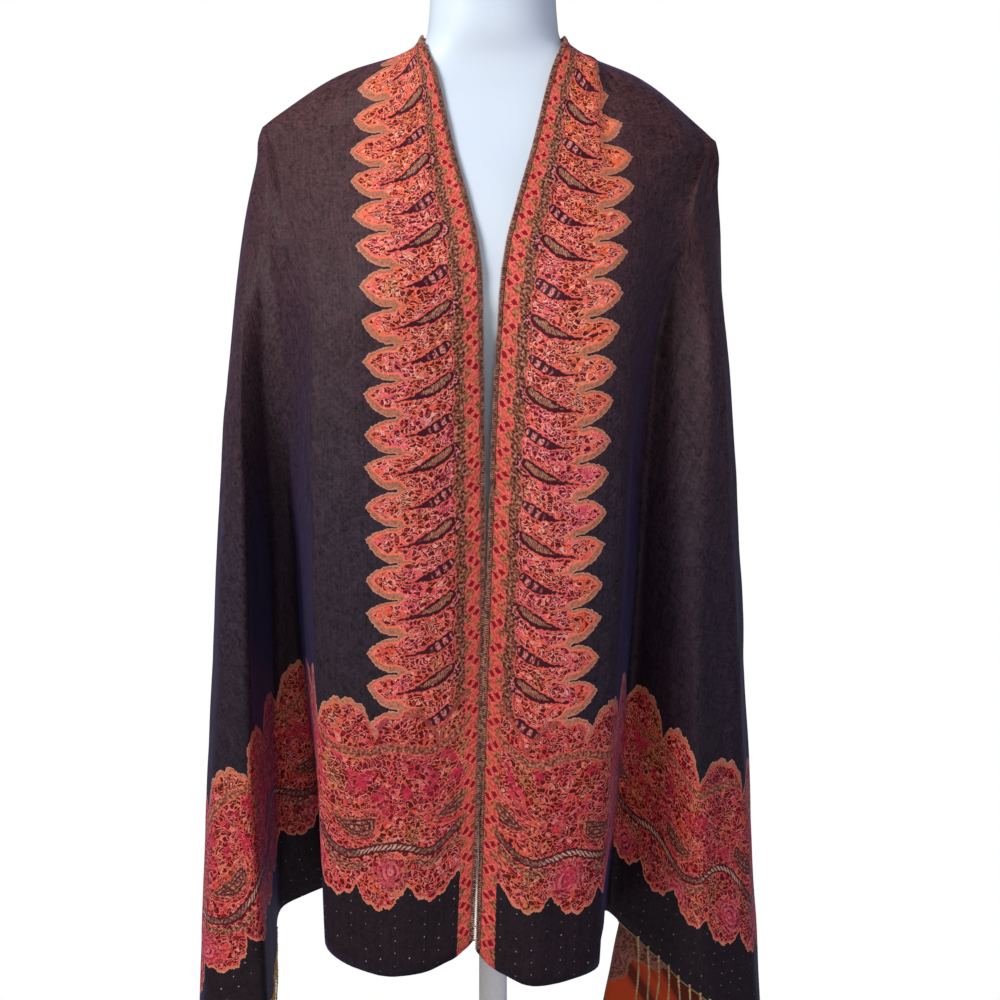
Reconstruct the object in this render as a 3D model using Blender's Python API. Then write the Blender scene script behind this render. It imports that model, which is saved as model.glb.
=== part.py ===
"""Pashmina shawl draped over the shoulders of a limbless dress form that stands on a pole and a base.

Metres, +Z up, the wearer's front towards -Y, origin on the underside of the base.

The cloth is one rectangle, WIDTH x 2 HALF. A point of it is (a, b): a runs from the first long edge,
which lies round the neck, to the second; b runs along the length from the centre back. The lower
edge of the draped cloth is one chain: from the left front corner along the left end (a from 0 to
WIDTH), round the left corner, along the second long edge past the centre back, and up the right side
the same way. A column of the cloth hangs from the shoulders to each place on that chain.
"""

import bmesh
import bpy
import numpy as np

# Cloth
WIDTH = 0.710
HALF = 0.915
WALL = 0.002
SEAM_GAP = 0.0003
CLEAR = 0.0055            # outer face of the cloth to the form where it rests
CAP_RADIUS = 0.010        # how round the cloth goes over the shoulder line
CAP_FADE = 0.045          # it gets tighter over this much of the line towards the shoulder's end
FRINGE_LENGTH = 0.075
SHOULDER_A = 0.170        # a where the shoulder line ends
END = WIDTH + HALF        # chain distance from a front corner to the centre back
FAN_END = END - 0.26      # columns between SHOULDER_A and here all hang from the shoulder's end
NECK_START = END - 0.07   # columns past here hang from the edge behind the neck
NECK_BACK_Y = 0.078
NECK_BACK_RISE = 0.010

# Heights down a column, as shares of its drop, at which the plan is known: the start, just below the
# shoulder where the cloth is still smooth, and the bust, waist and hem of the fold table
LEVELS = (0.0, 0.12, 0.30, 0.60, 1.0)
SHOULDER_SHARE_X = 0.40   # how far the smooth level has gone from the start towards the bust
SHOULDER_SHARE_Y = 0.50
SIDE_BULGE = {"left": 0.039, "right": 0.034}

# The shoulder line of each side, from the neck to the shoulder's end
RIDGE_TAPS = (-0.018, -0.009, 0.0, 0.009, 0.018)
RIDGE_COLUMNS = ("a", "x", "z", "b")
RIDGE = {
    "left": (
        (0.00, -0.0600, 1.3720, 0.085),
        (0.03, -0.0800, 1.3570, 0.083),
        (0.06, -0.1020, 1.3510, 0.084),
        (0.10, -0.1380, 1.3400, 0.098),
        (0.14, -0.1740, 1.3170, 0.140),
        (0.17, -0.2010, 1.2960, 0.192),
    ),
    "right": (
        (0.00, 0.0620, 1.3720, 0.076),
        (0.03, 0.0820, 1.3560, 0.070),
        (0.06, 0.1040, 1.3480, 0.074),
        (0.10, 0.1360, 1.3350, 0.100),
        (0.14, 0.1700, 1.3070, 0.145),
        (0.17, 0.1930, 1.2830, 0.195),
    ),
}

# A row for each fold or flat of the hanging cloth: its distance along the chain from the front
# corner, its plan place at bust, waist and hem, how softly it turns, and how much more cloth has
# slipped forward over the shoulder there
FOLD_COLUMNS = ("name", "along", "bust_x", "bust_y", "waist_x", "waist_y", "hem_x", "hem_y", "soft", "slack")
FOLDS = {
    "left": (
        ("front_edge", 0.000, -0.0095, -0.121, -0.0068, -0.128, -0.0165, -0.136, 0.012, 0.0),
        ("front_middle", 0.060, -0.066, -0.137, -0.062, -0.140, -0.066, -0.146, 0.020, 0.0),
        ("border_edge", 0.105, -0.111, -0.136, -0.107, -0.138, -0.104, -0.140, 0.020, 0.0),
        ("front_fold", 0.148, -0.151, -0.118, -0.148, -0.128, -0.141, -0.122, 0.014, 0.0),
        ("valley_inner", 0.320, -0.181, -0.072, -0.176, 0.000, -0.148, 0.056, 0.020, 0.0),
        ("valley_outer", 0.375, -0.198, -0.070, -0.198, 0.000, -0.199, 0.052, 0.020, 0.0),
        ("side_fold_inner", 0.520, -0.216, -0.086, -0.210, -0.084, -0.190, -0.090, 0.020, 0.0),
        ("side_fold_outer", 0.580, -0.226, -0.072, -0.238, -0.066, -0.249, -0.078, 0.020, 0.0),
        ("side", 0.630, -0.233, -0.054, -0.249, -0.030, -0.261, -0.035, 0.020, 0.0),
        ("corner", 0.710, -0.238, -0.025, -0.255, 0.020, -0.270, 0.040, 0.020, 0.0),
        ("flute_1_crest", 0.900, -0.241, 0.042, -0.262, 0.120, -0.285, 0.180, 0.030, 0.0),
        ("flute_1_trough", 1.040, -0.222, 0.050, -0.222, 0.080, -0.225, 0.090, 0.030, 0.0),
        ("flute_2_crest", 1.170, -0.226, 0.088, -0.238, 0.158, -0.252, 0.225, 0.030, 0.0),
        ("flute_2_trough", 1.290, -0.192, 0.100, -0.198, 0.115, -0.202, 0.135, 0.030, 0.0),
        ("flute_3_crest", 1.375, -0.168, 0.130, -0.168, 0.165, -0.170, 0.215, 0.030, 0.0),
        ("flute_3_trough", 1.450, -0.132, 0.124, -0.128, 0.136, -0.122, 0.152, 0.030, 0.0),
        ("back_crest", 1.530, -0.072, 0.138, -0.072, 0.155, -0.068, 0.178, 0.040, 0.0),
        ("back_middle", 1.600, -0.014, 0.130, -0.014, 0.142, -0.014, 0.150, 0.040, 0.0),
    ),
    "right": (
        ("front_edge", 0.000, 0.0065, -0.121, -0.0045, -0.128, -0.0140, -0.134, 0.012, 0.0),
        ("front_middle", 0.050, 0.055, -0.136, 0.042, -0.137, 0.032, -0.143, 0.020, 0.0),
        ("border_edge", 0.095, 0.099, -0.134, 0.083, -0.132, 0.070, -0.136, 0.020, 0.0),
        ("front_fold", 0.118, 0.118, -0.122, 0.105, -0.121, 0.089, -0.122, 0.014, 0.0),
        ("valley", 0.225, 0.138, -0.072, 0.126, -0.042, 0.101, -0.010, 0.016, 0.0),
        ("oblique_fold", 0.365, 0.184, -0.098, 0.174, -0.086, 0.184, -0.055, 0.020, 0.042),
        ("side_fold", 0.450, 0.198, -0.085, 0.212, -0.056, 0.236, -0.028, 0.020, 0.036),
        ("side", 0.530, 0.208, -0.060, 0.227, -0.010, 0.246, 0.042, 0.025, 0.018),
        ("return_fold", 0.660, 0.203, -0.006, 0.160, 0.052, 0.094, 0.098, 0.020, 0.0),
        ("corner", 0.710, 0.204, 0.012, 0.166, 0.080, 0.104, 0.140, 0.020, 0.0),
        ("flute_1_crest", 0.865, 0.216, 0.050, 0.231, 0.120, 0.244, 0.195, 0.030, 0.0),
        ("flute_1_trough", 0.990, 0.202, 0.080, 0.176, 0.125, 0.148, 0.188, 0.030, 0.0),
        ("flute_2_crest", 1.130, 0.196, 0.110, 0.212, 0.178, 0.232, 0.250, 0.030, 0.0),
        ("flute_2_trough", 1.270, 0.168, 0.115, 0.152, 0.143, 0.142, 0.185, 0.030, 0.0),
        ("flute_3_crest", 1.370, 0.150, 0.134, 0.145, 0.172, 0.152, 0.230, 0.030, 0.0),
        ("flute_3_trough", 1.450, 0.118, 0.126, 0.108, 0.142, 0.105, 0.160, 0.030, 0.0),
        ("back_crest", 1.530, 0.072, 0.138, 0.066, 0.155, 0.066, 0.178, 0.040, 0.0),
        ("back_middle", 1.600, 0.014, 0.130, 0.014, 0.142, 0.014, 0.150, 0.040, 0.0),
    ),
}

# Where each side's front stretch ends and the back stretch begins, and where the fringe starts
SIDE_SEAM = {"left": 0.622, "right": 0.490}
FRINGE_START = {"left": 0.400, "right": 0.240}

# Rows of the faceted walls, as shares of the column's length
ROWS = (0.0, 0.007, 0.020, 0.045, 0.085, 0.13, 0.18, 0.24, 0.31, 0.39, 0.48, 0.59, 0.72, 0.86, 1.0)
FACET = 0.052             # longest step along the chain
FINE_FACET = 0.016        # longest step where the cloth goes round the neck and the shoulder's end
FOLD_STEP = 0.012         # step on each side of a fold's row

# Dress form: level sections of the torso and neck
FORM_COLUMNS = ("z", "half_width", "front", "back")
FORM = (
    (0.865, 0.118, 0.070, 0.072),
    (0.872, 0.132, 0.080, 0.082),
    (0.890, 0.138, 0.084, 0.086),
    (0.940, 0.130, 0.082, 0.080),
    (0.985, 0.126, 0.083, 0.080),
    (1.030, 0.136, 0.094, 0.086),
    (1.080, 0.150, 0.108, 0.095),
    (1.125, 0.160, 0.116, 0.101),
    (1.170, 0.166, 0.112, 0.105),
    (1.210, 0.170, 0.096, 0.105),
    (1.245, 0.177, 0.080, 0.098),
    (1.268, 0.181, 0.066, 0.087),
    (1.284, 0.176, 0.056, 0.077),
    (1.300, 0.164, 0.050, 0.070),
    (1.315, 0.148, 0.046, 0.065),
    (1.330, 0.124, 0.045, 0.062),
    (1.342, 0.096, 0.044, 0.060),
    (1.354, 0.070, 0.047, 0.059),
    (1.368, 0.0595, 0.052, 0.057),
    (1.400, 0.0565, 0.054, 0.055),
    (1.452, 0.0560, 0.055, 0.055),
    (1.460, 0.0500, 0.049, 0.049),
)
FORM_POWER = 2.25         # superellipse power of the sections
FORM_SEGMENTS = 72
BUST_OUT = 0.020
BUST_X = 0.078
BUST_Z = 1.120
BUST_WIDE = 0.050
BUST_TALL = 0.055

# Stand, as (radius, z) outlines turned about the Z axis
BASE_OUTLINE = ((0.172, 0.0), (0.175, 0.003), (0.175, 0.009), (0.171, 0.013), (0.032, 0.016), (0.024, 0.030))
POLE_OUTLINE = ((0.0125, 0.0303), (0.0125, 0.852), (0.045, 0.856), (0.045, 0.8647))
STAND_SEGMENTS = 48

MATERIALS = {
    # name: (base colour, metallic, roughness)
    "shawl_cloth": ((0.045, 0.032, 0.038), 0.0, 0.75),
    "fringe_yarn": ((0.50, 0.36, 0.20), 0.0, 0.80),
    "form_plastic": ((0.82, 0.84, 0.88), 0.0, 0.35),
    "stand_metal": ((0.80, 0.80, 0.80), 0.6, 0.35),
}


def table(rows, columns, name):
    """One named column of a table, as an array."""
    return np.array([row[columns.index(name)] for row in rows], float)


def ridge(side, name):
    return table(RIDGE[side], RIDGE_COLUMNS, name)


def ridge_at(side, name, a):
    """The shoulder line's value at a, with the corners between the table's rows rounded."""
    places, values = ridge(side, "a"), ridge(side, name)
    first = (values[1] - values[0]) / (places[1] - places[0])
    last = (values[-1] - values[-2]) / (places[-1] - places[-2])
    total = 0
    for tap in RIDGE_TAPS:
        q = a + tap
        v = np.interp(q, places, values)
        v = np.where(q < places[0], values[0] + (q - places[0]) * first, v)
        v = np.where(q > places[-1], values[-1] + (q - places[-1]) * last, v)
        total = total + v / len(RIDGE_TAPS)
    return total


def form_section(name, z):
    return np.interp(z, table(FORM, FORM_COLUMNS, "z"), table(FORM, FORM_COLUMNS, name))


def form_depths(x, z):
    """Front and back depth of the form at this x and z; the bust adds to the front."""
    across = (np.abs(x) - BUST_X) / BUST_WIDE
    up = (z - BUST_Z) / BUST_TALL
    return form_section("front", z) + BUST_OUT * np.exp(-across**2 - up**2), form_section("back", z)


def form_value(p):
    """Zero on the form's surface, below zero inside it."""
    x, y, z = p[..., 0], p[..., 1], p[..., 2]
    front, back = form_depths(x, z)
    depth = np.where(y < 0, front, back)
    wide = np.abs(x / form_section("half_width", z)) ** FORM_POWER
    return (wide + np.abs(y / depth) ** FORM_POWER) ** (1 / FORM_POWER) - 1


def keep_clear(p, margin):
    """Moves points that are within margin of the form straight out from it."""
    step = 0.002
    for _ in range(3):
        slope = np.stack(
            [(form_value(p + step * axis) - form_value(p - step * axis)) / (2 * step) for axis in np.eye(3)],
            axis=-1,
        )
        steep = np.maximum(np.linalg.norm(slope, axis=-1, keepdims=True), 1e-6)
        short = margin - form_value(p)[..., None] / steep
        short = np.where(p[..., 2:3] > FORM[0][0], np.clip(short, 0, 0.03), 0)
        p = p + slope / steep * short
    return p


def along_chain(side):
    """The chain place of each fold's row: below zero on the left, above on the right, 0 at the centre back."""
    sign = -1 if side == "left" else 1
    return sign * (END - table(FOLDS[side], FOLD_COLUMNS, "along"))


def chain_column(name):
    """A column of the fold table for the whole chain, from the left front corner to the right one."""
    left = table(FOLDS["left"], FOLD_COLUMNS, name)
    right = table(FOLDS["right"], FOLD_COLUMNS, name)
    return np.concatenate([left, right[::-1]])


def chain_places():
    return np.concatenate([along_chain("left"), along_chain("right")[::-1]])


def softened(c, values):
    """The fold table's values along the chain, with each corner turned softly."""
    places = chain_places()
    soft = np.interp(c, places, chain_column("soft"))
    taps = np.linspace(-1, 1, 9)
    weights = 1 - 0.9 * np.abs(taps)
    weights = weights / weights.sum()
    first = (values[1] - values[0]) / (places[1] - places[0])
    last = (values[-1] - values[-2]) / (places[-1] - places[-2])
    total = np.zeros_like(c)
    for tap, weight in zip(taps, weights):
        q = c + tap * soft
        v = np.interp(q, places, values)
        v = np.where(q < places[0], values[0] + (q - places[0]) * first, v)
        v = np.where(q > places[-1], values[-1] + (q - places[-1]) * last, v)
        total += weight * v
    return total


def column_starts(c):
    """Where each column leaves the shoulders or the back of the neck, and the cloth point (a, b) there."""
    along = END - np.abs(c)
    back = np.clip((along - NECK_START) / (FAN_END - NECK_START), 0, 1) * SHOULDER_A
    a = np.where(along < SHOULDER_A, along, np.where(along > FAN_END, back, SHOULDER_A))
    start = np.zeros(c.shape + (3,))
    b = np.zeros_like(c)
    turn = np.clip((END - along) / (END - NECK_START), 0, 1)
    for side, mine in (("left", c < 0), ("right", c >= 0)):
        neck = mine & (along > NECK_START)
        start[mine, 0] = ridge_at(side, "x", a[mine])
        start[mine, 2] = ridge_at(side, "z", a[mine])
        b[mine] = ridge_at(side, "b", a[mine])
        start[neck, 0] = ridge(side, "x")[0] * np.sin(turn[neck] * np.pi / 2)
        start[neck, 1] = NECK_BACK_Y * np.cos(turn[neck] * np.pi / 2)
        start[neck, 2] = ridge(side, "z")[0] + NECK_BACK_RISE * np.cos(turn[neck] * np.pi / 2)
        b[neck] = ridge(side, "b")[0] * turn[neck]
    b = b - softened(c, chain_column("slack"))
    return start, a, b


def through_levels(values, share):
    """A monotone cubic down each column through its stated levels."""
    levels = np.array(LEVELS)
    step = np.diff(levels)[:, None]
    rise = np.diff(values, axis=0) / step
    slope = np.zeros_like(values)
    for k in range(1, len(levels) - 1):
        heavy, light = 2 * step[k] + step[k - 1], step[k] + 2 * step[k - 1]
        same = rise[k - 1] * rise[k] > 0
        one = np.where(same, rise[k - 1], 1.0)
        two = np.where(same, rise[k], 1.0)
        slope[k] = np.where(same, (heavy + light) / (heavy / one + light / two), 0)
    slope[0] = 1.5 * rise[0] - 0.5 * slope[1]
    slope[-1] = 1.5 * rise[-1] - 0.5 * slope[-2]
    out = np.zeros((values.shape[1], len(share)))
    part = np.clip(np.searchsorted(levels, share, side="right") - 1, 0, len(levels) - 2)
    for k in range(len(levels) - 1):
        s = ((share - levels[k]) / step[k])[None, :]
        low, high = values[k][:, None], values[k + 1][:, None]
        low_slope, high_slope = slope[k][:, None] * step[k], slope[k + 1][:, None] * step[k]
        curve = (1 + 2 * s) * (1 - s) ** 2 * low + s * (1 - s) ** 2 * low_slope
        curve = curve + s * s * (3 - 2 * s) * high + s * s * (s - 1) * high_slope
        out = np.where(part[None, :] == k, curve, out)
    return out


def smooth_level(c, start, bust):
    """Plan of the cloth just below the shoulders, where a fan from the shoulder's end goes round it evenly."""
    toward = np.array([SHOULDER_SHARE_X, SHOULDER_SHARE_Y])
    out = start[:, :2] + (bust - start[:, :2]) * toward
    along = END - np.abs(c)
    for side, sign in (("left", -1), ("right", 1)):
        ends = sign * (END - np.array([SHOULDER_A, FAN_END]))
        tip = np.array([ridge(side, "x")[-1], 0.0])
        low = np.stack([softened(ends, chain_column("bust_" + axis)) for axis in "xy"], axis=-1)
        front, back = tip + (low - tip) * toward
        fan = (sign * c > 0) & (along > SHOULDER_A) & (along < FAN_END)
        turn = (along[fan] - SHOULDER_A) / (FAN_END - SHOULDER_A)
        out[fan, 0] = front[0] + (back[0] - front[0]) * turn + sign * SIDE_BULGE[side] * np.sin(np.pi * turn)
        out[fan, 1] = (front[1] + back[1]) / 2 + (front[1] - back[1]) / 2 * np.cos(np.pi * turn)
    return out


def drape(c, rows):
    """The hung cloth: points (columns, rows, 3), for chain places c and shares of column length rows."""
    start, a0, b0 = column_starts(c)
    along = END - np.abs(c)
    a1 = np.minimum(along, WIDTH)
    b1 = np.where(along > WIDTH, END - along, HALF)
    length = np.hypot(a1 - a0, b1 - b0)
    stated = [np.stack([softened(c, chain_column(level + "_" + axis)) for axis in "xy"], axis=-1)
              for level in ("bust", "waist", "hem")]
    levels = np.array([start[:, :2], smooth_level(c, start, stated[0])] + stated)
    plan = levels[:, :, 0], levels[:, :, 1]
    out_x, out_y = plan[0][1] - plan[0][0], plan[1][1] - plan[1][0]
    reach = np.hypot(out_x, out_y) + 1e-9
    cap = CAP_RADIUS * (1 - 0.7 * np.clip((along - NECK_START) / 0.02, 0, 1))
    into_fan = np.minimum(along - SHOULDER_A, FAN_END - along) / CAP_FADE
    cap = cap * (1 - 0.75 * np.clip(1 + into_fan, 0, 1))
    share = np.linspace(0, 1, 160) ** 1.6
    line_x, line_y = through_levels(plan[0], share), through_levels(plan[1], share)
    fade = np.clip(1 - share / LEVELS[2], 0, 1) ** 2
    drop = length.copy()
    for _ in range(8):
        down = drop[:, None] * share
        bulge = np.sqrt(np.maximum(cap[:, None] ** 2 - np.maximum(cap[:, None] - down, 0) ** 2, 0)) * fade
        p = np.stack(
            [
                line_x + (out_x / reach)[:, None] * bulge,
                line_y + (out_y / reach)[:, None] * bulge,
                start[:, 2:3] - down,
            ],
            axis=-1,
        )
        p = keep_clear(p, CLEAR)
        pieces = np.linalg.norm(np.diff(p, axis=1), axis=2)
        drop = drop - 0.9 * (pieces.sum(1) - length)
    run = np.concatenate([np.zeros((len(c), 1)), np.cumsum(pieces, 1)], 1)
    run = run / run[:, -1:]
    q = np.empty((len(c), len(rows), 3))
    for i in range(len(c)):
        for k in range(3):
            q[i, :, k] = np.interp(rows, run[i], p[i, :, k])
    return q


def unit(v):
    return v / np.maximum(np.linalg.norm(v, axis=-1, keepdims=True), 1e-9)


def shoulder_normals(c):
    """Upward normals along the shoulder line, shared by the columns that leave it forwards and backwards."""
    _, a, _ = column_starts(c)
    out = np.zeros(c.shape + (3,))
    for side, mine in (("left", c < 0), ("right", c >= 0)):
        run, climb = np.gradient(ridge(side, "x")), np.gradient(ridge(side, "z"))
        sign = np.sign(run[0])
        normal = unit(np.stack([-climb * sign, np.zeros_like(run), np.abs(run)], axis=-1))
        for k in range(3):
            out[mine, k] = np.interp(a[mine], ridge(side, "a"), normal[:, k])
    return unit(out)


def wall(c, rows):
    """Outer and inner faces of the cloth. The inner one lies WALL inside along the sheet's own normals."""
    rows = np.array(rows)
    step_c, step_t = 0.002, 0.002
    outer = drape(c, rows)
    across = drape(c + step_c, rows) - drape(c - step_c, rows)
    upper = drape(c, np.clip(rows - step_t, 0, 1))
    lower = drape(c, np.clip(rows + step_t, 0, 1))
    normal = unit(np.cross(across, lower - upper))
    along = (END - np.abs(c))[:, None, None]
    near = np.clip(1 - rows / 0.03, 0, 1)[None, :, None] * np.where(along > NECK_START, 0, 1)
    normal = unit(normal * (1 - near) + shoulder_normals(c)[:, None, :] * near)
    return outer, outer - WALL * normal


def walled_object(name, outer, inner, material):
    """A closed wall between two grids of points. Columns that start at one point meet there."""
    columns, rows = outer.shape[:2]
    bm = bmesh.new()
    faces = {}
    for key, grid in (("outer", outer), ("inner", inner)):
        faces[key] = [[bm.verts.new(grid[i, j]) for j in range(rows)] for i in range(columns)]
    out, back = faces["outer"], faces["inner"]
    for i in range(columns - 1):
        for j in range(rows - 1):
            bm.faces.new((out[i][j], out[i][j + 1], out[i + 1][j + 1], out[i + 1][j]))
            bm.faces.new((back[i][j], back[i + 1][j], back[i + 1][j + 1], back[i][j + 1]))
        for j in (0, rows - 1):
            bm.faces.new((out[i][j], out[i + 1][j], back[i + 1][j], back[i][j]))
    for j in range(rows - 1):
        for i in (0, columns - 1):
            bm.faces.new((out[i][j], back[i][j], back[i][j + 1], out[i][j + 1]))
    bmesh.ops.remove_doubles(bm, verts=bm.verts, dist=0.00002)
    bmesh.ops.dissolve_degenerate(bm, edges=bm.edges, dist=0.00001)
    bmesh.ops.triangulate(bm, faces=bm.faces)
    return finished(bm, name, material)


def finished(bm, name, material):
    bmesh.ops.recalc_face_normals(bm, faces=bm.faces)
    mesh = bpy.data.meshes.new(name)
    bm.to_mesh(mesh)
    bm.free()
    mesh.materials.append(material)
    obj = bpy.data.objects.new(name, mesh)
    bpy.context.scene.collection.objects.link(obj)
    return obj


def chain_steps(low, high):
    """Chain places between two seams: each fold's row, a near one on each side, and even steps between."""
    rows = [c for c in chain_places() if low < c < high]
    near = [c + d for c in rows for d in (-FOLD_STEP, 0.0, FOLD_STEP)]
    ends = [SHOULDER_A - END, END - SHOULDER_A, -END + FAN_END, END - FAN_END, NECK_START - END, END - NECK_START]
    marks = [low, high, 0.0] + near + ends
    marks = sorted(c for c in marks if low <= c <= high)
    kept = [marks[0]]
    for c in marks[1:-1]:
        if c - kept[-1] > 0.5 * FOLD_STEP and high - c > 0.5 * FOLD_STEP:
            kept.append(c)
    kept.append(marks[-1])
    steps = []
    for here, there in zip(kept, kept[1:]):
        along = END - abs(here + there) / 2
        longest = FINE_FACET if 0.125 < along < 0.20 or along > FAN_END else FACET
        count = max(1, int(np.ceil((there - here) / longest)))
        steps += [here + (there - here) * k / count for k in range(count)]
    return np.array(steps + [kept[-1]])


def open_seam(outer, inner, c, way):
    """Draws the shoulder line and the side seams back by half the gap; way is -1 for a front stretch, 1 for the back."""
    along = END - np.abs(c)
    shift = np.array([0.0, way * SEAM_GAP / 2, 0.0])
    for grid in (outer, inner):
        grid[along <= NECK_START, 0] += shift
        for side, mine in (("left", c < 0), ("right", c >= 0)):
            seam = mine & (np.abs(along - SIDE_SEAM[side]) < 1e-6)
            grid[seam, 1:] += shift
    return outer, inner


def shawl_stretch(name, low, high, way, material):
    c = chain_steps(low, high)
    outer, inner = wall(c, ROWS)
    outer, inner = open_seam(outer, inner, c, way)
    return walled_object(name, outer, inner, material)


def fringe(name, side, material):
    """A thin wall as long as the yarns, hanging straight down under the outer stretch of an end."""
    sign = -1 if side == "left" else 1
    ends = sorted((sign * (END - FRINGE_START[side]), sign * (END - WIDTH)))
    c = chain_steps(*ends)
    outer, inner = wall(c, (0.98, 1.0))
    drops = (4 * SEAM_GAP, 0.5 * FRINGE_LENGTH, FRINGE_LENGTH)
    down = np.array([0.0, 0.0, -1.0])
    low_outer = np.stack([outer[:, 1] + down * d for d in drops], axis=1)
    flat = inner[:, 1] - outer[:, 1]
    flat[:, 2] = 0.0
    low_inner = low_outer + (WALL * unit(flat))[:, None, :]
    low_outer[:, 0, 2] -= np.maximum(outer[:, 1, 2] - inner[:, 1, 2], 0)
    low_inner[:, 0, 2] = low_outer[:, 0, 2]
    return walled_object(name, low_outer, low_inner, material)


def capped_rings(name, rings, material):
    """A closed body through level rings of the same count, with a flat face at each end."""
    bm = bmesh.new()
    loops = [[bm.verts.new(p) for p in ring] for ring in rings]
    count = len(loops[0])
    for low, high in zip(loops, loops[1:]):
        for k in range(count):
            n = (k + 1) % count
            bm.faces.new((low[k], low[n], high[n], high[k]))
    bm.faces.new(list(reversed(loops[0])))
    bm.faces.new(loops[-1])
    return finished(bm, name, material)


def dress_form(material):
    angles = np.arange(FORM_SEGMENTS) * 2 * np.pi / FORM_SEGMENTS
    cos, sin = np.cos(angles), np.sin(angles)
    levels = table(FORM, FORM_COLUMNS, "z")
    between = [low + (high - low) * k / max(1, round((high - low) / 0.016))
               for low, high in zip(levels, levels[1:])
               for k in range(max(1, round((high - low) / 0.016)))]
    rings = []
    for z in between + [levels[-1]]:
        x = form_section("half_width", z) * np.sign(cos) * np.abs(cos) ** (2 / FORM_POWER)
        front, back = form_depths(x, np.full_like(x, z))
        y = np.where(sin < 0, front, back) * np.sign(sin) * np.abs(sin) ** (2 / FORM_POWER)
        rings.append(np.stack([x, y, np.full_like(x, z)], axis=-1))
    return capped_rings("form_body", rings, material)


def turned(name, outline, material):
    angles = np.arange(STAND_SEGMENTS) * 2 * np.pi / STAND_SEGMENTS
    rings = [[(r * np.cos(t), r * np.sin(t), z) for t in angles] for r, z in outline]
    return capped_rings(name, rings, material)


def principled(name):
    colour, metallic, roughness = MATERIALS[name]
    material = bpy.data.materials.new(name)
    material.use_nodes = True
    shader = material.node_tree.nodes["Principled BSDF"]
    shader.inputs["Base Color"].default_value = (*colour, 1.0)
    shader.inputs["Metallic"].default_value = metallic
    shader.inputs["Roughness"].default_value = roughness
    return material


def main():
    for obj in list(bpy.data.objects):
        bpy.data.objects.remove(obj)
    cloth, yarn = principled("shawl_cloth"), principled("fringe_yarn")
    plastic, metal = principled("form_plastic"), principled("stand_metal")
    left_seam, right_seam = SIDE_SEAM["left"] - END, END - SIDE_SEAM["right"]
    shawl_stretch("shawl_left_front", -END, left_seam, -1, cloth)
    shawl_stretch("shawl_back", left_seam, right_seam, 1, cloth)
    shawl_stretch("shawl_right_front", right_seam, END, -1, cloth)
    fringe("fringe_left", "left", yarn)
    fringe("fringe_right", "right", yarn)
    dress_form(plastic)
    turned("stand_base", BASE_OUTLINE, metal)
    turned("stand_pole", POLE_OUTLINE, metal)


main()
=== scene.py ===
"""Pashmina shawl on a dress form: the looks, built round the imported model.

Metres, +Z up, the wearer's front towards -Y. Left is towards -X, as seen from the front. The cloth is
one rectangle, WIDTH x 2 HALF. A point of it is (a, b): a runs from the long edge that lies round the
neck, b along the length from the centre back. The lower edge of the hung cloth is one chain from the
left front corner past the centre back to the right front corner, and a column of cloth hangs from the
shoulders to each place on it.
"""

import functools
import math
import types

import bmesh
import bpy
import numpy as np
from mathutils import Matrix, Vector, noise


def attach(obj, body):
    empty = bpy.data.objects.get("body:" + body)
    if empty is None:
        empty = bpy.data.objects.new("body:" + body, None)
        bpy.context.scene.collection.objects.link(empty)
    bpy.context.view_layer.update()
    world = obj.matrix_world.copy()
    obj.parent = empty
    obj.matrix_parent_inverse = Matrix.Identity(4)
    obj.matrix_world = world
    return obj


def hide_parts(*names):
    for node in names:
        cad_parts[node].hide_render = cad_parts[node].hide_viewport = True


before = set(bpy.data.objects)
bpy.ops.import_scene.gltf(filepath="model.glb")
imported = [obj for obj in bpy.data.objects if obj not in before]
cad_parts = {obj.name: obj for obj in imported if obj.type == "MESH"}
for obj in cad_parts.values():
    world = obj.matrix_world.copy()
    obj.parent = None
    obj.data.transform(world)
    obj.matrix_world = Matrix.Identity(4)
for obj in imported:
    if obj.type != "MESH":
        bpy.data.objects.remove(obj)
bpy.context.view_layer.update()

# Cloth
WIDTH = 0.710
HALF = 0.915
CLEAR = 0.0055            # outer face of the cloth to the form where it rests
CAP_RADIUS = 0.010        # how round the cloth goes over the shoulder line
CAP_FADE = 0.045          # it gets tighter over this much of the line towards the shoulder's end
CAP_LESS_IN_FAN = 0.75    # and loses this share of its radius there, and this one behind the neck
CAP_LESS_AT_NECK = 0.70
CAP_NECK_FADE = 0.020
SHOULDER_A = 0.170        # a where the shoulder line ends
END = WIDTH + HALF        # chain distance from a front corner to the centre back
FAN_END = END - 0.26      # columns between SHOULDER_A and here all hang from the shoulder's end
NECK_START = END - 0.07   # columns past here hang from the edge behind the neck
NECK_BACK_Y = 0.078       # the edge behind the neck, and how much higher it is than beside the neck
NECK_BACK_RISE = 0.010

# Heights down a column, as shares of its drop, at which the plan is known: the start, just below the
# shoulder where the cloth is still smooth, and the bust, waist and hem of the fold table
LEVELS = (0.0, 0.12, 0.30, 0.60, 1.0)
SHOULDER_SHARE_X = 0.40   # how far the smooth level has gone from the start towards the bust
SHOULDER_SHARE_Y = 0.50
SIDE_BULGE = {"left": 0.039, "right": 0.034}     # how far the fan stands out between its front and its back

COLUMN_POINTS = 160       # points on a column while its drop is worked out, closer together near its top
COLUMN_CLOSER = 1.6
SETTLE_ROUNDS = 8         # times that a column's drop is put right
SETTLE_SHARE = 0.9        # of what its length is off by
FARTHEST_PUSH = 0.03      # no point is moved further than this out of the form at once
SOFT_TAPS = 9             # places at which a fold's turn is read, and how much less its ends count
SOFT_FALL = 0.9
TINY = 1e-9               # keeps a length that is divided by above zero

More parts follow.
